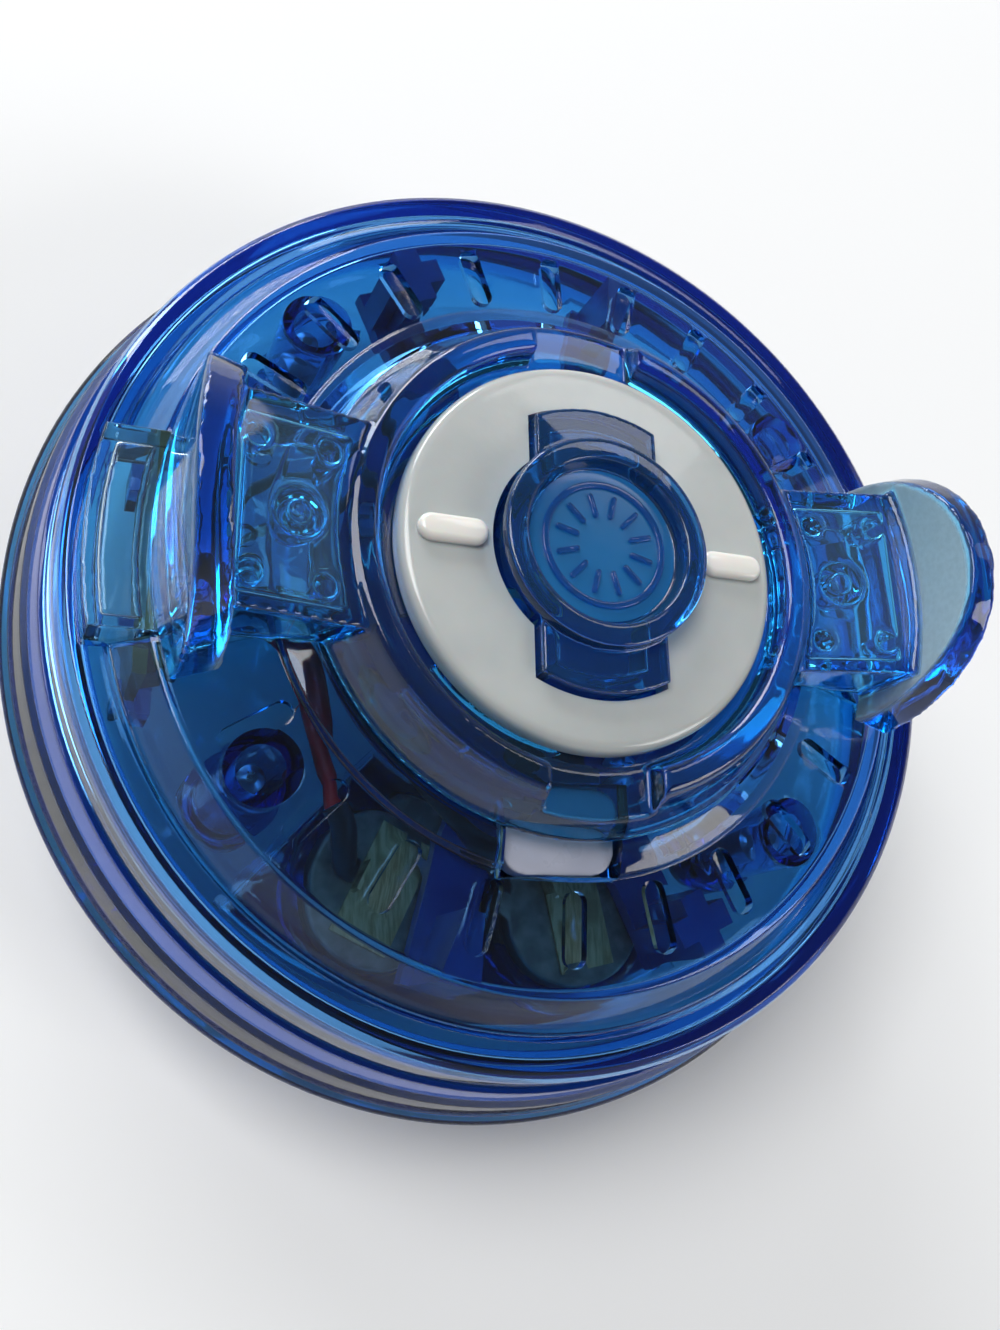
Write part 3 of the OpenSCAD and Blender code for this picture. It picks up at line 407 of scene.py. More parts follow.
def ringOfCopies(name, part, finish, radius, count, height, turn=0.0):
    sizes = {"Radius": ("Float", radius * mm), "Count": ("Int", count), "Height": ("Float", height * mm),
             "Turn": ("Float", math.radians(turn))}
    tree, source, result = newTree(name, sizes)
    make, link = tree.nodes.new, tree.links.new
    circle, copies = make("GeometryNodeMeshCircle"), make("GeometryNodeInstanceOnPoints")
    index, step, spin = make("GeometryNodeInputIndex"), make("ShaderNodeMath"), make("ShaderNodeMath")
    step.operation, spin.operation = "DIVIDE", "MULTIPLY"
    spin.inputs[1].default_value = 2 * math.pi
    angle, lift, whole = (make("ShaderNodeCombineXYZ") for _ in range(3))
    place = make("GeometryNodeTransform")
    link(source.outputs["Radius"], circle.inputs["Radius"])
    link(source.outputs["Count"], circle.inputs["Vertices"])
    link(index.outputs[0], step.inputs[0])
    link(source.outputs["Count"], step.inputs[1])
    link(step.outputs[0], spin.inputs[0])
    link(spin.outputs[0], angle.inputs["Z"])
    link(source.outputs["Geometry"], copies.inputs["Instance"])
    link(circle.outputs["Mesh"], copies.inputs["Points"])
    link(angle.outputs[0], copies.inputs["Rotation"])
    link(copies.outputs["Instances"], place.inputs["Geometry"])
    link(source.outputs["Height"], lift.inputs["Z"])
    link(lift.outputs[0], place.inputs["Translation"])
    link(source.outputs["Turn"], whole.inputs["Z"])
    link(whole.outputs[0], place.inputs["Rotation"])
    closeTree(tree, place.outputs["Geometry"], result, finish)
    part.name = name
    return runTree(part, tree, sizes)

def copiesAt(name, part, finish, spots, height):
    sizes = {"Height": ("Float", height * mm), "Part": ("Object", part)}
    tree, source, result = newTree(name, sizes)
    make, link = tree.nodes.new, tree.links.new
    info, copies = make("GeometryNodeObjectInfo"), make("GeometryNodeInstanceOnPoints")
    lift, place = make("ShaderNodeCombineXYZ"), make("GeometryNodeTransform")
    link(source.outputs["Part"], info.inputs["Object"])
    link(source.outputs["Geometry"], copies.inputs["Points"])
    link(info.outputs["Geometry"], copies.inputs["Instance"])
    link(copies.outputs["Instances"], place.inputs["Geometry"])
    link(source.outputs["Height"], lift.inputs["Z"])
    link(lift.outputs[0], place.inputs["Translation"])
    closeTree(tree, place.outputs["Geometry"], result, finish)
    mesh = bpy.data.meshes.new(name)
    mesh.from_pydata([(x * mm, y * mm, 0) for x, y in spots], [], [])
    obj = runTree(newObject(name, mesh), tree, sizes)
    bpy.data.objects.remove(part)
    return refinish(obj, sharp=30)

def routeTube(name, tubes, radius, finish, steps=60, sides=20):
    sizes = {"Radius": ("Float", radius * mm), "Steps": ("Int", steps)}
    tree, source, result = newTree(name, sizes)
    make, link = tree.nodes.new, tree.links.new
    curve, kind = make("GeometryNodeMeshToCurve"), make("GeometryNodeCurveSplineType")
    kind.spline_type = "CATMULL_ROM"
    resample, profile = make("GeometryNodeResampleCurve"), make("GeometryNodeCurvePrimitiveCircle")
    profile.inputs["Resolution"].default_value = sides
    sweep = make("GeometryNodeCurveToMesh")
    sweep.inputs["Fill Caps"].default_value = True
    link(source.outputs["Geometry"], curve.inputs["Mesh"])
    link(curve.outputs["Curve"], kind.inputs["Curve"])
    link(kind.outputs["Curve"], resample.inputs["Curve"])
    link(source.outputs["Steps"], resample.inputs["Count"])
    link(source.outputs["Radius"], profile.inputs["Radius"])
    link(resample.outputs["Curve"], sweep.inputs["Curve"])
    link(profile.outputs["Curve"], sweep.inputs["Profile Curve"])
    closeTree(tree, sweep.outputs["Mesh"], result, finish)
    mesh = bpy.data.meshes.new(name)
    points, links = [], []
    for route in tubes:
        links += [(len(points) + k, len(points) + k + 1) for k in range(len(route) - 1)]
        points += [[c * mm for c in p] for p in route]
    mesh.from_pydata(points, links, [])
    obj = runTree(newObject(name, mesh), tree, sizes)
    bm = bmesh.new()
    bm.from_mesh(obj.data)
    closeSeams(bm)
    bm.to_mesh(obj.data)
    bm.free()
    return refinish(obj, sharp=40)


# camera at the photo's viewing angle, with the image taken as 1000 by 1330

view = {"place": (-37.83, -32.54, 107.53), "right": (0.91507443, -0.03168143, 0.40203866),
        "up": (-0.1072392, 0.94190177, 0.31830931), "back": (-0.38876541, -0.33439101, 0.85851273),
        "focalPixels": 1211.0, "axisX": 547.0, "axisY": 589.7, "wide": 1000, "tall": 1330, "sensor": 36,
        "clip": (0.002, 20)}
lensData = bpy.data.cameras.new("photoCamera")
lensData.sensor_width = view["sensor"]
lensData.lens = view["focalPixels"] * view["sensor"] / view["tall"]
lensData.shift_x = (view["wide"] / 2 - view["axisX"]) / view["tall"]
lensData.shift_y = (view["axisY"] - view["tall"] / 2) / view["tall"]
lensData.clip_start, lensData.clip_end = view["clip"]
photoCamera = newObject("photoCamera", lensData)
turnRows = Matrix((view["right"], view["up"], view["back"])).transposed()
photoCamera.matrix_world = Matrix.Translation(Vector(view["place"]) * mm) @ turnRows.to_4x4()
scene.camera = photoCamera


# stage: pale floor, soft boxes and a quiet grey room

studio = {"floorHalf": 1.4, "floorColour": (0.94, 0.94, 0.94), "floorRough": 0.9,
          "horizon": (0.52, 0.54, 0.56), "horizonEnd": 0.15, "ceiling": (0.05, 0.052, 0.054), "ceilingStart": 0.7,
          "aim": (0, 0, 0.03)}
lamps = {
    "windowFar": {"place": (-0.40, 1.00, 0.34), "size": (0.7, 0.46), "power": 10.0, "colour": (0.97, 0.99, 1.0)},
    "topLeft": {"place": (-0.60, 0.35, 1.15), "size": (0.7, 0.7), "power": 11.0, "colour": (1, 1, 1)},
    "topRight": {"place": (0.95, -0.50, 0.85), "size": (0.5, 0.5), "power": 4.0, "colour": (1, 1, 1)},
    "farTop": {"place": (0.43, 0.55, 0.86), "size": (0.26, 0.14), "power": 0.38, "colour": (0.97, 0.98, 1.0)},
    "sideRight": {"place": (0.90, 0.36, 0.70), "size": (0.4, 0.3), "power": 0.3, "colour": (0.97, 0.99, 1.0)},
}
half = studio["floorHalf"]
floorMesh = bpy.data.meshes.new("floor")
floorMesh.from_pydata([(x, y, 0) for x, y in rect(-half, -half, half, half)], [], [(0, 1, 2, 3)])
floorMesh.materials.append(newFinish("floorPale", studio["floorColour"], studio["floorRough"])[0])
newObject("floor", floorMesh)

world = bpy.data.worlds.new("room")
scene.world = world
world.use_nodes = True
sky = world.node_tree
skyCoords = sky.nodes.new("ShaderNodeTexCoord")
skySplit = sky.nodes.new("ShaderNodeSeparateXYZ")
skyRamp = sky.nodes.new("ShaderNodeValToRGB")
lowEnd, highEnd = skyRamp.color_ramp.elements
lowEnd.color, lowEnd.position = (*studio["horizon"], 1), studio["horizonEnd"]
highEnd.color, highEnd.position = (*studio["ceiling"], 1), studio["ceilingStart"]
sky.links.new(skyCoords.outputs["Generated"], skySplit.inputs["Vector"])
sky.links.new(skySplit.outputs["Z"], skyRamp.inputs["Fac"])
sky.links.new(skyRamp.outputs["Color"], sky.nodes["Background"].inputs["Color"])

for name, lamp in lamps.items():
    data = bpy.data.lights.new(name, "AREA")
    data.shape, (data.size, data.size_y) = "RECTANGLE", lamp["size"]
    data.energy, data.color = lamp["power"], lamp["colour"]
    box = newObject(name, data)
    box.location = lamp["place"]
    aim = Vector(studio["aim"]) - Vector(lamp["place"])
    box.rotation_euler = aim.to_track_quat("-Z", "Y").to_euler()
print("stage and camera ready")


# upper shell: deck with slots, screw posts, window pocket and button opening

shell = {
    "profile": [
        (37.3, 19.6, 0.15), (36.8, 23.2, 0.5), (36.5, 23.85, 0.3), (36.0, 24.2, 0.35), (34.1, 24.2, 0.3),
        (33.6, 23.8, 0.25), (31.3, 26.5, 0.5), (23.3, 27.4, 0.25), (23.1, 28.0, 0.25), (21.0, 28.6, 0.3),
        (13.2, 28.6, 0.2), (13.2, 27.0, 0.1), (20.6, 27.0, 0.3), (22.4, 25.9, 0.3), (30.6, 25.0, 0.5),
        (33.0, 22.3, 0.4), (35.2, 22.3, 0.3), (35.65, 21.2, 0.2), (35.65, 19.6, 0.1)],
    "segs": 192, "screwRing": 27.3, "screwAngles": (35.5, 136, 215.5, 316),
    "post": {"r": 2.7, "low": 15.05, "high": 25.6, "count": 40},
    "bore": {"r": 1.75, "low": 14.0, "high": 24.3, "count": 40},
    "slots": 24, "slotRing": 26.65, "slotLift": 27.02, "slotLength": 5.4, "slotWidth": 1.7, "slotDepth": 0.9,
    "slotOver": 1.0, "deckSlope": 6.34, "pocketIn": 30.35, "pocketOut": 35.35, "pocketHalf": 7.55,
    "pocketZ": (21, 29), "pocketSpare": -0.5, "beyondRim": 41,
    "opening": (-5.85, -23.05, 3.25, -16.65), "openingZ": (24.0, 31.0), "edge": 0.2,
    "entryIn": 10.9, "entryOut": 14.75, "entryZ": (26.0, 29.5), "entryAngles": (60, 240), "entryHalf": 22}
screwSpots = ringPoints(shell["screwRing"], shell["screwAngles"])

# the two gaps in the hub that let the tabs of the lock ring in
def entries(rIn, low, high, finish):
    return [prism("entry", sector(rIn, shell["entryOut"], a, shell["entryHalf"]), low, high, finish)
            for a in shell["entryAngles"]]

# a piece of a ring, cut off straight at both sides, on the side of the window
def windowBlock(name, rIn, rOut, halfWide, low, high, spare, finish):
    outline = rect(-shell["beyondRim"], -halfWide, 0, halfWide)
    sides = prism("blockSides", outline, low - spare, high + spare, finish)
    return keep(lathe(name, tube(rIn, rOut, low, high), finish, shell["segs"]), sides)

def makeUpperShell():
    finish = "deckBlue"
    body = lathe("upperShell", shell["profile"], finish, shell["segs"])
    add(body, *pegs("post", screwSpots, finish, **shell["post"]))
    cut(body, *pegs("bore", screwSpots, finish, **shell["bore"]))
    outline = stadium(shell["slotLength"], shell["slotWidth"])
    slot = prism("slotCutter", outline, -shell["slotDepth"], shell["slotOver"], finish)
    turned(slot, math.radians(shell["deckSlope"]), "Y")
    cut(body, ringOfCopies("deckSlots", slot, finish, shell["slotRing"], shell["slots"], shell["slotLift"]))
    cut(body, windowBlock("pocket", shell["pocketIn"], shell["pocketOut"], shell["pocketHalf"], *shell["pocketZ"],
                          shell["pocketSpare"], finish))
    cut(body, prism("opening", rect(*shell["opening"]), *shell["openingZ"], finish))
    cut(body, *entries(shell["entryIn"], *shell["entryZ"], finish))
    return bevelled(body, shell["edge"], limit=55, segments=3)

seat(makeUpperShell(), "housing", "clear_blue", "upper_shell")
print("upper shell done")


# lower shell: dished floor, rim, posts, cell pockets and the recess for the hatch

base = {
    "profile": [
        (3.23, 6.4, 0.1), (5.5, 6.4, 0.4), (16.5, 9.0, 2.0), (33.0, 9.0, 2.0), (38.4, 10.9, 0.8), (39.5, 11.3, 0.5),
        (40.1, 11.9, 0.5), (40.1, 12.5, 0.5), (39.4, 13.0, 0.35), (38.7, 16.25, 0.3), (38.2, 16.75, 0.3),
        (37.6, 19.5, 0.15), (35.5, 19.5, 0), (35.5, 20.7, 0.15), (34.7, 20.7, 0.15), (34.7, 18.8, 0.3),
        (36.0, 17.5, 0.3), (36.0, 12.4, 0.5), (33.0, 10.6, 1.0), (16.5, 10.6, 1.0), (5.9, 8.0, 0.2), (5.5, 8.0, 0),
        (5.5, 9.8, 0.15), (3.23, 9.8, 0.1)],
    "segs": 192, "cellRing": 25.0, "cellAngles": (-79, -116), "cellMid": -97.5, "frameRing": 15.5,
    "frameAngles": (20, 160, 300), "hatchScrewRing": 20.4, "edge": 0.1,
    "boardX": -30.0, "boardSlotY": 8.8, "boardSlot": (1.7, 1.2), "boardSlotZ": (10.2, 15.1),
    "boardCut": (0.65, 9.15), "boardCutZ": (10.65, 17.0),
    "web": (16.9, 33.1, 37.0, 9.3, 11.6),         # inner and outer radius, half angle, foot, top
    "recess": (17.65, 32.35, 35.4, 8.0, 10.4),
    "bridgeCut": (22.7, 27.3, 22.5, 9.9, 10.9),
    "posts": {"foot": {"r": 3.4, "low": 9.3, "high": 15.0, "count": 48},
              "frameFoot": {"r": 2.2, "low": 9.45, "high": 16.55, "count": 36},
              "cellWall": {"r": 6.85, "low": 10.6, "high": 15.0, "count": 72},
              "hatchPost": {"r": 2.1, "low": 10.6, "high": 14.4, "count": 36}},
    "holes": {"cellHole": {"r": 6.05, "low": 9.6, "high": 18.0, "count": 72},
              "shank": {"r": 1.3, "low": 8.0, "high": 16.0, "count": 32},
              "headHole": {"r": 2.45, "low": 8.0, "high": 11.15, "count": 48},
              "pilot": {"r": 0.85, "low": 12.0, "high": 18.0, "count": 28},
              "hatchPilot": {"r": 0.85, "low": 9.0, "high": 14.0, "count": 28}}}
cellSpots = ringPoints(base["cellRing"], base["cellAngles"])
frameSpots = ringPoints(base["frameRing"], base["frameAngles"])
hatchSpots = [polar(base["hatchScrewRing"], base["cellMid"])]
baseSpots = {"foot": screwSpots, "frameFoot": frameSpots, "cellWall": cellSpots, "hatchPost": hatchSpots,
             "cellHole": cellSpots, "shank": screwSpots, "headHole": screwSpots, "pilot": frameSpots,
             "hatchPilot": hatchSpots}

def cellSector(name, rIn, rOut, halfAngle, low, high, finish, count=24):
    return prism(name, sector(rIn, rOut, base["cellMid"], halfAngle, count), low, high, finish)

def makeLowerShell():
    finish, x, slotY = "baseBlue", base["boardX"], base["boardSlotY"]
    (slotWide, slotDeep), (cutWide, cutDeep) = base["boardSlot"], base["boardCut"]
    body = lathe("lowerShell", base["profile"], finish, base["segs"])
    add(body, cellSector("web", *base["web"], finish))
    for name, size in base["posts"].items():
        add(body, *pegs(name, baseSpots[name], finish, **size))
    for y in (-slotY, slotY):
        outline = rect(x - slotWide, y - slotDeep, x + slotWide, y + slotDeep)
        add(body, prism("boardSlot", outline, *base["boardSlotZ"], finish))
    cut(body, cellSector("recess", *base["recess"], finish, count=48))
    for name, size in base["holes"].items():
        cut(body, *pegs(name, baseSpots[name], finish, **size))
    cut(body, prism("boardCut", rect(x - cutWide, -cutDeep, x + cutWide, cutDeep), *base["boardCutZ"], finish))
    cut(body, cellSector("bridgeCut", *base["bridgeCut"], finish))
    return bevelled(body, base["edge"], limit=55)

seat(makeLowerShell(), "housing", "clear_blue", "lower_shell")

hatch = {"in": 17.8, "out": 32.2, "half": 35.0, "low": 9.0, "high": 10.35, "holeR": 0.95, "sinkR": 1.65,
         "sinkTop": 9.9, "under": 8.0, "over": 12.0, "edge": 0.25}

def makeHatch():
    finish, under = "frameBlue", hatch["under"]
    body = cellSector("batteryHatch", hatch["in"], hatch["out"], hatch["half"], hatch["low"], hatch["high"],
                      finish, count=48)
    cut(body, *pegs("hatchHole", hatchSpots, finish, hatch["holeR"], under, hatch["over"], count=32))
    cut(body, *pegs("hatchSink", hatchSpots, finish, hatch["sinkR"], under, hatch["sinkTop"], count=40))
    return bevelled(body, hatch["edge"], limit=40, segments=3)

seat(makeHatch(), "housing", "dark_blue", "battery_hatch")
print("lower shell and hatch done")


# screws: one turned screw, copied to its holes

screws = {"shell": {"headR": 2.3, "headH": 2.0, "shankR": 1.15, "length": 12.4},
          "frame": {"headR": 1.5, "headH": 0.85, "shankR": 0.8, "length": 6.2},
          "hatch": {"headR": 1.5, "headH": 0.85, "shankR": 0.8, "length": 4.0},
          "shellSeat": 9.1, "frameSeat": 19.1, "hatchSeat": 9.0,
          "dome": 0.7, "shoulder": 0.45, "point": 0.4, "pointLength": 0.5,
          "crossReach": 0.62, "crossHalf": 0.2, "crossDepth": 0.55}

def panScrew(name, headR, headH, shankR, length):
    profile = [
        (0, 0, 0), (headR * screws["dome"], 0, 0.3), (headR, headH * screws["shoulder"], 0.3), (headR, headH, 0.1),
        (shankR, headH, 0.05), (shankR, length - screws["pointLength"], 0.1),
        (shankR * screws["point"], length, 0.1), (0, length, 0)]
    body = lathe(name, profile, "steel", segs=40)
    reach, wide = headR * screws["crossReach"], screws["crossHalf"]
    for quarter in (0, math.pi / 2):
        blade = prism("blade", rect(-reach, -wide, reach, wide), -1, screws["crossDepth"], "steel")
        cut(body, turned(blade, quarter))
    return body

shellScrew = panScrew("shellScrew", **screws["shell"])
shellScrews = copiesAt("shellScrews", shellScrew, "steel", screwSpots, screws["shellSeat"])
seat(shellScrews, "housing", "steel", "shell_screws")
frameScrew = turned(panScrew("frameScrew", **screws["frame"]), math.pi, "X")
frameScrews = copiesAt("frameScrews", frameScrew, "steel", frameSpots, screws["frameSeat"])
seat(frameScrews, "housing", "steel", "frame_screws")
hatchScrewPart = panScrew("hatchScrewPart", **screws["hatch"])
hatchScrew = copiesAt("hatchScrew", hatchScrewPart, "steel", hatchSpots, screws["hatchSeat"])
seat(hatchScrew, "housing", "steel", "hatch_screw")
print("screws done")


# wing ring: collar, two hollow arms and two upright wings, softened as one moulding

wings = {
    "collar": [
        (13.35, 28.65, 0.1), (20.8, 28.65, 0.1), (20.6, 29.4, 0.2), (18.6, 33.1, 0.2), (18.3, 33.5, 0.2),
        (16.9, 33.5, 0.2), (16.5, 33.1, 0.2), (16.2, 31.2, 0.2), (13.35, 31.2, 0.1)],
    "seat": 28.65, "entryIn": 10, "entryZ": (20, 36), "gapHalf": 4.3, "gapNear": 8.25, "gapFar": 24.75,
    "gapFoot": 31.4,
    "inner": 27.7, "thick": 2.3, "draft": 1.0, "innerHalf": 10.5, "flare": 0.33, "foot": 27.7, "top": 41.8,
    "power": 2.15, "armStart": 14.5, "armHalf": 7.7, "armTop": 35.4, "armSlope": 0.2366, "armFoot": 28.1,
    "armWall": 1.2, "armLap": 1.15, "armRoot": 17.45, "armSeat": 23.5, "pinR": 0.75, "pinX": (20.2, 25.4),
    "pinY": 4.9, "pipeX": 22.2, "pipeIn": 1.0, "pipeOut": 1.7, "pinDrop": 3.0, "pinSink": 0.6,
    "under": 20, "over": 40, "slabX": (22, 34), "bandZ": (20, 50), "voxel": 0.24, "passes": 5}

# outline across a wing at a given reach; the edge band flares outwards
def wingOutline(x, count=72):
    points, power = [], 2 / wings["power"]
    halfWide = wings["innerHalf"] + wings["flare"] * (x - wings["inner"])
    for k in range(count + 1):
        c, s = polar(1, 180 * k / count)
        points.append((x, halfWide * math.copysign(abs(c) ** power, c),
                       wings["foot"] + (wings["top"] - wings["foot"]) * max(s, 0) ** power))
    return points

def wingOuter(z):
    rise = (wings["top"] - z) / (wings["top"] - wings["foot"])
    return wings["inner"] + wings["thick"] + wings["draft"] * rise

def makeWing():
    inner, (low, high) = wings["inner"], wings["bandZ"]
    slab = loft("wingSlab", *(wingOutline(x) for x in wings["slabX"]), "wingBlue")
    profile = [(inner, low, 0), (wingOuter(low), low, 0), (wingOuter(high), high, 0), (inner, high, 0)]
    return keep(lathe("wingBand", profile, "wingBlue", segs=240), slab)

def armTop(r):
    return wings["armTop"] - wings["armSlope"] * (wings["inner"] - r)

def armBlock(name, halfWide, reach, drop, foot):
    start = wings["armStart"]
    side = [(start, foot), (reach, foot), (reach, armTop(reach) - drop), (start, armTop(start) - drop)]
    return loft(name, [(x, -halfWide, z) for x, z in side], [(x, halfWide, z) for x, z in side], "wingBlue")

def makeArm():
    finish, wall, under, over = "wingBlue", wings["armWall"], wings["under"], wings["over"]
    reach = wings["inner"] + wings["armLap"]
    def pinSpan(x):
        return armTop(x) - wall - wings["pinDrop"], armTop(x) - wings["pinSink"]
    body = armBlock("arm", wings["armHalf"], reach, 0, wings["armFoot"])
    cut(body, armBlock("armHollow", wings["armHalf"] - wall, wings["inner"] - wall, wall, under))
    cut(body, prism("armRoot", disc(wings["armRoot"], count=120), under, over, finish))
    cut(body, prism("armSeat", disc(wings["armSeat"], count=120), under, wings["seat"], finish))
    keep(body, prism("armReach", disc(reach, count=160), under, over, finish))
    for x in wings["pinX"]:
        spots = [(x, -wings["pinY"]), (x, wings["pinY"])]
        add(body, *pegs("armPin", spots, finish, wings["pinR"], *pinSpan(x), count=24))
    pipe = tube(wings["pipeIn"], wings["pipeOut"], *pinSpan(wings["pipeX"]))
    return add(body, lathe("armPipe", pipe, finish, segs=40, centre=(wings["pipeX"], 0)))

# from where to where each share of the frosting and of the painted reflection grows
frostAndSheenRamps = {"offArm": (0.05, 0.45), "edge": (0.02, 0.05), "depth": (-1.0, -0.5), "wing": (23, 24), "paintedArmSheen": 0.09,
         "armFace": (-0.4, -0.1), "armSide": (0, 1.5), "armRoot": (19, 20.5), "armEnd": (0, 1.2)}

# 1 on a wing's inner face, 0 at its rounded edge and where the arm joins, and a thin share on the arm tops that
# paints in the window's reflection
def frostAndSheenAt(x, y, z):
    def ramp(value, key):
        start, stop = frostAndSheenRamps[key]
        return min(max((value - start) / (stop - start), 0), 1)
    reach, power = math.hypot(x, y), wings["power"]
    rise = (z - wings["foot"]) / (wings["top"] - wings["foot"])
    spread = abs(y) / wings["innerHalf"]
    edge = 1 - (max(rise, 0) ** power + spread ** power) ** (1 / power)
    aboveArm, besideArm = z - armTop(reach), abs(y) - wings["armHalf"]
    short = wings["inner"] - reach
    clear = max(ramp(aboveArm, "offArm"), ramp(besideArm, "offArm"))
    panel = clear * ramp(edge, "edge") * ramp(short, "depth") * ramp(abs(x), "wing")
    onArm = ramp(aboveArm, "armFace") * ramp(-besideArm, "armSide")
    onArm *= ramp(reach, "armRoot") * ramp(short, "armEnd")
    return max(panel, frostAndSheenRamps["paintedArmSheen"] * onArm)

def makeWingRing():
    finish, gap = "wingBlue", wings["gapHalf"]
    body = lathe("wingRing", wings["collar"], finish, segs=192)
    for y0, y1 in ((-wings["gapFar"], -wings["gapNear"]), (wings["gapNear"], wings["gapFar"])):
        cut(body, prism("collarGap", rect(-gap, y0, gap, y1), wings["gapFoot"], wings["over"], finish))
    add(body, *halfTurn(makeArm), *halfTurn(makeWing))
    cut(body, *entries(wings["entryIn"], *wings["entryZ"], finish))
    soften(body, wings["voxel"], wings["passes"])
    # per vertex: how much frosting and painted reflection the wing material shows
    frostAndPaintedSheen = body.data.attributes.new("frostAndPaintedSheen", "FLOAT", "POINT")
    frostAndPaintedSheen.data.foreach_set("value", [frostAndSheenAt(*(v.co / mm)) for v in body.data.vertices])
    return body

seat(makeWingRing(), "housing", "wing_blue", "wing_ring")
print("wing ring done")


# lock ring: milky ring with two finger ribs, a skirt and two tabs under the hub

lock = {"inside": 7.0, "edge": 15.15, "under": 31.3, "face": 33.2, "edgeRound": 1.1, "skirtIn": 11.8,
        "skirtOut": 12.9, "skirtFoot": 25.7, "skirtTop": 31.7, "skirtRound": 0.1, "tabIn": 12.4, "tabOut": 14.6,
        "tabHalf": 20, "tabTop": 26.85, "holeZ": (25, 40), "edgeBevel": 0.18, "ribBevel": 0.45,
        "ribIn": 8.7, "ribOut": 13.95, "ribWide": 2.0, "ribSink": 0.4, "ribTop": 34.0, "coreHole": 8.25,
        "lugHalf": 5.25, "lugReach": 11.45}

def lugShape(name, halfWide, r, low, high, finish):
    sides = prism("lugSides", rect(-halfWide, -r - 1, halfWide, r + 1), low - 1, high + 1, finish)
    return keep(prism(name, disc(r, count=120), low, high, finish), sides)

def makeLockRing():
    finish, face, foot = "milkWhite", lock["face"], lock["skirtFoot"]
    profile = [(lock["inside"], lock["under"], 0), (lock["edge"], lock["under"], 0.2),
               (lock["edge"], face, lock["edgeRound"]), (lock["inside"], face, 0)]
    body = lathe("lockRing", profile, finish, segs=192)
    skirt = tube(lock["skirtIn"], lock["skirtOut"], foot, lock["skirtTop"], lock["skirtRound"])
    add(body, lathe("lockSkirt", skirt, finish))
    for angle in (0, 180):
        outline = sector(lock["tabIn"], lock["tabOut"], angle, lock["tabHalf"])
        add(body, prism("lockTab", outline, foot, lock["tabTop"], finish))
    for turn in (0, math.pi):
        outline = stadium(lock["ribOut"] - lock["ribIn"], lock["ribWide"])
        rib = prism("lockRib", outline, face - lock["ribSink"], lock["ribTop"], finish)
        moved(rib, Matrix.Translation(((lock["ribIn"] + lock["ribOut"]) / 2 * mm, 0, 0)))
        add(body, turned(bevelled(rib, lock["ribBevel"], segments=4), turn))
    cut(body, prism("coreHole", disc(lock["coreHole"], count=120), *lock["holeZ"], finish))
    cut(body, lugShape("lugHole", lock["lugHalf"], lock["lugReach"], *lock["holeZ"], finish))
    return bevelled(body, lock["edgeBevel"], limit=55, segments=3)

seat(makeLockRing(), "lock", "milk_white", "lock_ring")


# core: round clear cap with two lugs, hollow from below

core = {"r": 8.1, "neck": 7.6, "top": 35.6, "collar": 34.5, "flange": 29.45, "flangeR": 11.65, "flangeTop": 31.25,
        "recess": 6.3, "mouthOut": 0.1, "floorIn": 0.3, "boreIn": 0.2, "depth": 1.4, "lugHalf": 5.0, "lugReach": 11.1,
        "lugFoot": 30.0, "lugTop": 34.2, "hollow": 6.4, "wall": 1.3, "under": 28, "over": 40,
        "voxel": 0.16, "passes": 3}
recessFloor = core["top"] - core["depth"]

def makeCoreCap():
    finish, wall, under, recess = "coreBlue", core["wall"], core["under"], core["recess"]
    profile = [
        (0, core["flange"], 0), (core["flangeR"], core["flange"], 0.2), (core["flangeR"], core["flangeTop"], 0.2),
        (core["neck"], core["flangeTop"], 0), (core["neck"], core["collar"], 0), (core["r"], core["collar"], 0.1),
        (core["r"], core["top"], 0.4), (recess + core["mouthOut"], core["top"], 0.3),
        (recess - core["floorIn"], recessFloor, 0.2), (0, recessFloor, 0)]
    body = lathe("coreCap", profile, finish)
    lugHalf, lugReach, lugTop = core["lugHalf"], core["lugReach"], core["lugTop"]
    add(body, lugShape("coreLug", lugHalf, lugReach, core["lugFoot"], lugTop, finish))
    bore = disc(recess - core["boreIn"], count=96)
    cut(body, prism("recessAgain", bore, recessFloor, core["over"], finish))
    cut(body, prism("underside", disc(core["hollow"], count=96), under, recessFloor - wall, finish))
    cut(body, lugShape("lugHollow", lugHalf - wall, lugReach - wall, under, lugTop - wall, finish))
    return soften(body, core["voxel"], core["passes"])

seat(makeCoreCap(), "lock", "core_blue", "core_cap")


# plain dial in the recess: a round of short marks, a ring and a plate

dial = {"lift": 0.06, "marks": 12, "markRing": 3.05, "markLength": 1.9, "markWidth": 0.42,
        "markSink": 0.02, "markTop": 0.32, "markTurn": 15, "ringIn": 4.45, "ringOut": 4.95,
        "ringTop": 0.29, "plateR": 5.9, "plateUnder": 0.05, "plateTop": 0.03, "edge": 0.1}
low = recessFloor + dial["lift"]
markOutline = stadium(dial["markLength"], dial["markWidth"], count=6)
mark = bevelled(prism("dialMark", markOutline, -dial["markSink"], dial["markTop"], "coreBlue"), dial["edge"])
dialMarks = ringOfCopies("dialMarks", mark, "coreBlue", dial["markRing"], dial["marks"], low, dial["markTurn"])
seat(refinish(dialMarks, sharp=40), "lock", "core_blue")
ringProfile = tube(dial["ringIn"], dial["ringOut"], low, low + dial["ringTop"], foot=0.05, head=0.14)
dialRing = lathe("dialRing", ringProfile, "coreBlue", segs=96)
seat(dialRing, "lock", "core_blue")
plateLow, plateHigh = low - dial["plateUnder"], low + dial["plateTop"]
plateProfile = [(0, plateLow, 0), (dial["plateR"], plateLow, 0.02), (dial["plateR"], plateHigh, 0.02),
                (0, plateHigh, 0)]
dialPlate = lathe("dialPlate", plateProfile, "dialBlue", segs=96)
seat(dialPlate, "lock", "core_blue")
print("lock ring and core done")


# button, window and the small parts that show through the deck

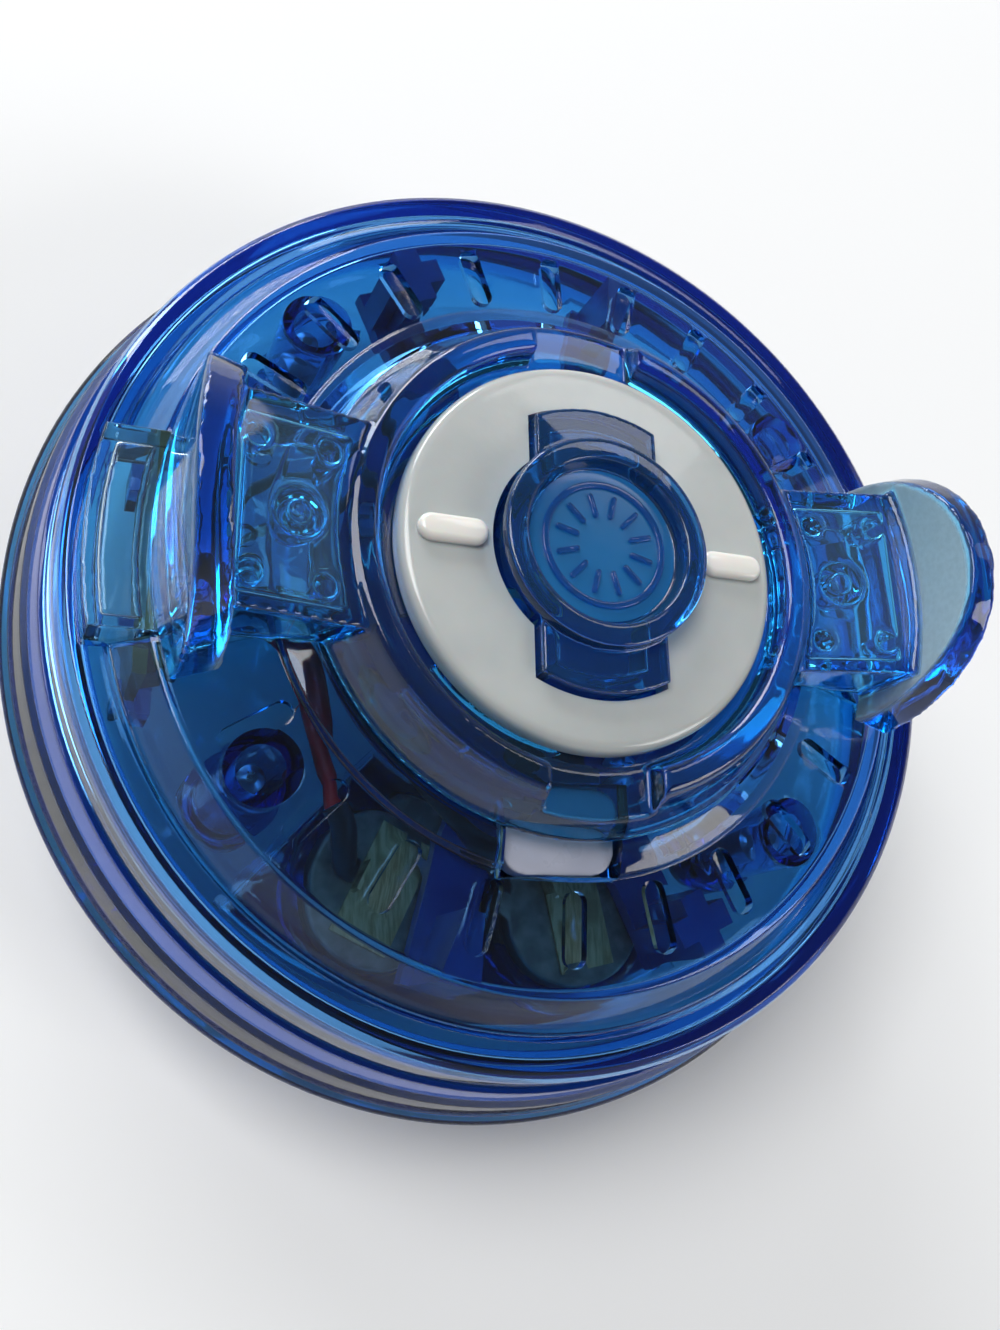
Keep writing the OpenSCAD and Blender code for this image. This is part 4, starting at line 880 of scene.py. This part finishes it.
tab = {"x": -1.3, "y": -19.85, "wide": 8.8, "deep": 6.1, "corner": 1.9, "low": 25.6, "high": 27.4,
       "heelHalf": 3.4, "heelY": (-18.2, -15.6), "heelZ": (24.4, 26.2), "stem": (-2, -17, 2, -15),
       "stemZ": (22.75, 25.2), "voxel": 0.16, "passes": 5}

def makeButton():
    finish, x, (y0, y1) = "buttonWhite", tab["x"], tab["heelY"]
    outline = roundRect(tab["wide"], tab["deep"], tab["corner"], x, tab["y"])
    body = prism("powerButton", outline, tab["low"], tab["high"], finish)
    add(body, prism("buttonHeel", rect(x - tab["heelHalf"], y0, x + tab["heelHalf"], y1), *tab["heelZ"], finish))
    add(body, prism("buttonStem", rect(*tab["stem"]), *tab["stemZ"], finish))
    return soften(body, tab["voxel"], tab["passes"])

seat(makeButton(), "button", "button_white", "power_button")

window = {"in": 30.5, "out": 35.2, "half": 7.4, "low": 22.5, "high": 27.2, "wall": 1.0, "openTo": 20.0,
          "voxel": 0.16, "passes": 4}

def makeWindow():
    def block(name, gap, low, high):
        rIn, rOut, halfWide = window["in"] + gap, window["out"] - gap, window["half"] - gap
        return windowBlock(name, rIn, rOut, halfWide, low, high, 1, "windowClear")
    body = block("sensorWindow", 0, window["low"], window["high"])
    cut(body, block("windowHollow", window["wall"], window["openTo"], window["high"] - window["wall"]))
    return soften(body, window["voxel"], window["passes"])

seat(makeWindow(), "housing", "clear_window", "sensor_window")

routes = {
    "red": [[(-15.9, -17.5, 20.55), (-16.4, -16.2, 20.6), (-17.7, -12, 20.8), (-18.9, -7.2, 20.8),
             (-21.2, -4.9, 20.8), (-25, -4.2, 20.8), (-29.4, -4.2, 20.8)]],
    "sleeve": [[(-13.7, -21.7, 17.8), (-14.5, -21.3, 17.9), (-15, -20.1, 19.3), (-15.3, -18.9, 20.2),
                (-15.8, -17.7, 20.5)]],
    "black": [[(3.3, -20.2, 19.2), (0.5, -20.6, 19.6), (-4.5, -20.6, 19.6), (-9.5, -16.2, 19.5), (-13.5, -11, 19.4),
               (-17, -5, 19.3), (-21, -1.9, 19.2), (-25, -1.6, 19.2), (-29.4, -1.6, 19.2)]],
    "motor": [[(-29.4, 4.6, 20.6), (-25.94, 4.9, 20.8), (-21.05, 7.4, 21.2), (-15, 11, 22), (-9.6, 13.4, 22.8),
               (-5, 13.2, 23.4)],
              [(-29.4, 1.6, 20.6), (-25.97, 1.8, 20.8), (-20.46, 3.6, 21.2), (-14.5, 7.4, 22), (-9.6, 10.2, 22.8),
               (-5, 10.8, 23.4)]],
}
wireR = {"red": 0.7, "sleeve": 0.95, "black": 0.7, "motor": 0.5}
redWire = routeTube("redWire", routes["red"], wireR["red"], "redWire")
seat(redWire, "housing", "red_insulation", "red_wire")
wireSleeve = routeTube("wireSleeve", routes["sleeve"], wireR["sleeve"], "blackWire")
seat(wireSleeve, "housing", "black_insulation", "wire_sleeve")
blackWire = routeTube("blackWire", routes["black"], wireR["black"], "blackWire")
seat(blackWire, "housing", "black_insulation", "black_wire")
motorLeads = routeTube("motorLeads", routes["motor"], wireR["motor"], "greyWire")
seat(motorLeads, "housing", "grey_insulation", "motor_leads")

cell = {"profile": [(0, 10.8, 0), (4.9, 10.8, 0.2), (5.2, 11.3, 0.1), (5.8, 11.4, 0.25), (5.8, 16.2, 0.35),
                    (0, 16.2, 0)],
        "segs": 72}

def makeCells():
    bm = bmesh.new()
    for spot in cellSpots:
        one = lathe("cell", cell["profile"], "cellGrey", cell["segs"], spot)
        bm.from_mesh(one.data)
        bpy.data.objects.remove(one)
    return fromBmesh("buttonCells", bm, "cellGrey", sharp=30)

seat(makeCells(), "housing", "cell_case", "button_cells")

# tip and holder, turned
tip = {"holder": [(2.63, 2.25, 0.1), (5.0, 2.25, 0.3), (6.4, 3.6, 0.5), (6.4, 5.4, 0.3), (5.8, 6.0, 0.3),
                  (1.5, 6.0, 0), (1.5, 4.2, 0), (2.63, 4.2, 0)],
       "rubber": [(0, 0, 0), (4.6, 0, 0.3), (5.0, 0.5, 0.4), (5.0, 2.2, 0.2), (2.6, 2.2, 0), (2.6, 4.15, 0.1),
                  (0, 4.15, 0)],
       "segs": 96}
seat(lathe("tipHolder", tip["holder"], "frameBlue", tip["segs"]), "drive", "dark_blue", "tip_holder")
seat(lathe("rubberTip", tip["rubber"], "rubber", tip["segs"]), "drive", "rubber", "rubber_tip")
print("small parts done")


# solids that keep their own shape get their finish

plainFinish = {
    "frameBlue": ("inner_frame",),
    "blackPlastic": ("switch_body", "infrared_receiver", "control_chip"),
    "nylon": ("switch_plunger", "motor_end_cap", "drive_gear"),
    "boardOlive": ("circuit_board",),
    "paleGold": ("positive_terminal", "negative_terminal"),
    "brass": ("cell_bridge", "contact_strips", "motor_pinion", "lower_bush", "upper_bush"),
    "steel": ("motor_can", "motor_shaft", "drive_shaft", "thrust_washer"),
    "ferrite": ("motor_magnets",),
    "copper": ("motor_armature",),
}
for finish, names in plainFinish.items():
    for name in names:
        nodes[name].data.materials.clear()
        nodes[name].data.materials.append(finishes[finish])
print("kept solids:", sum(map(len, plainFinish.values())))
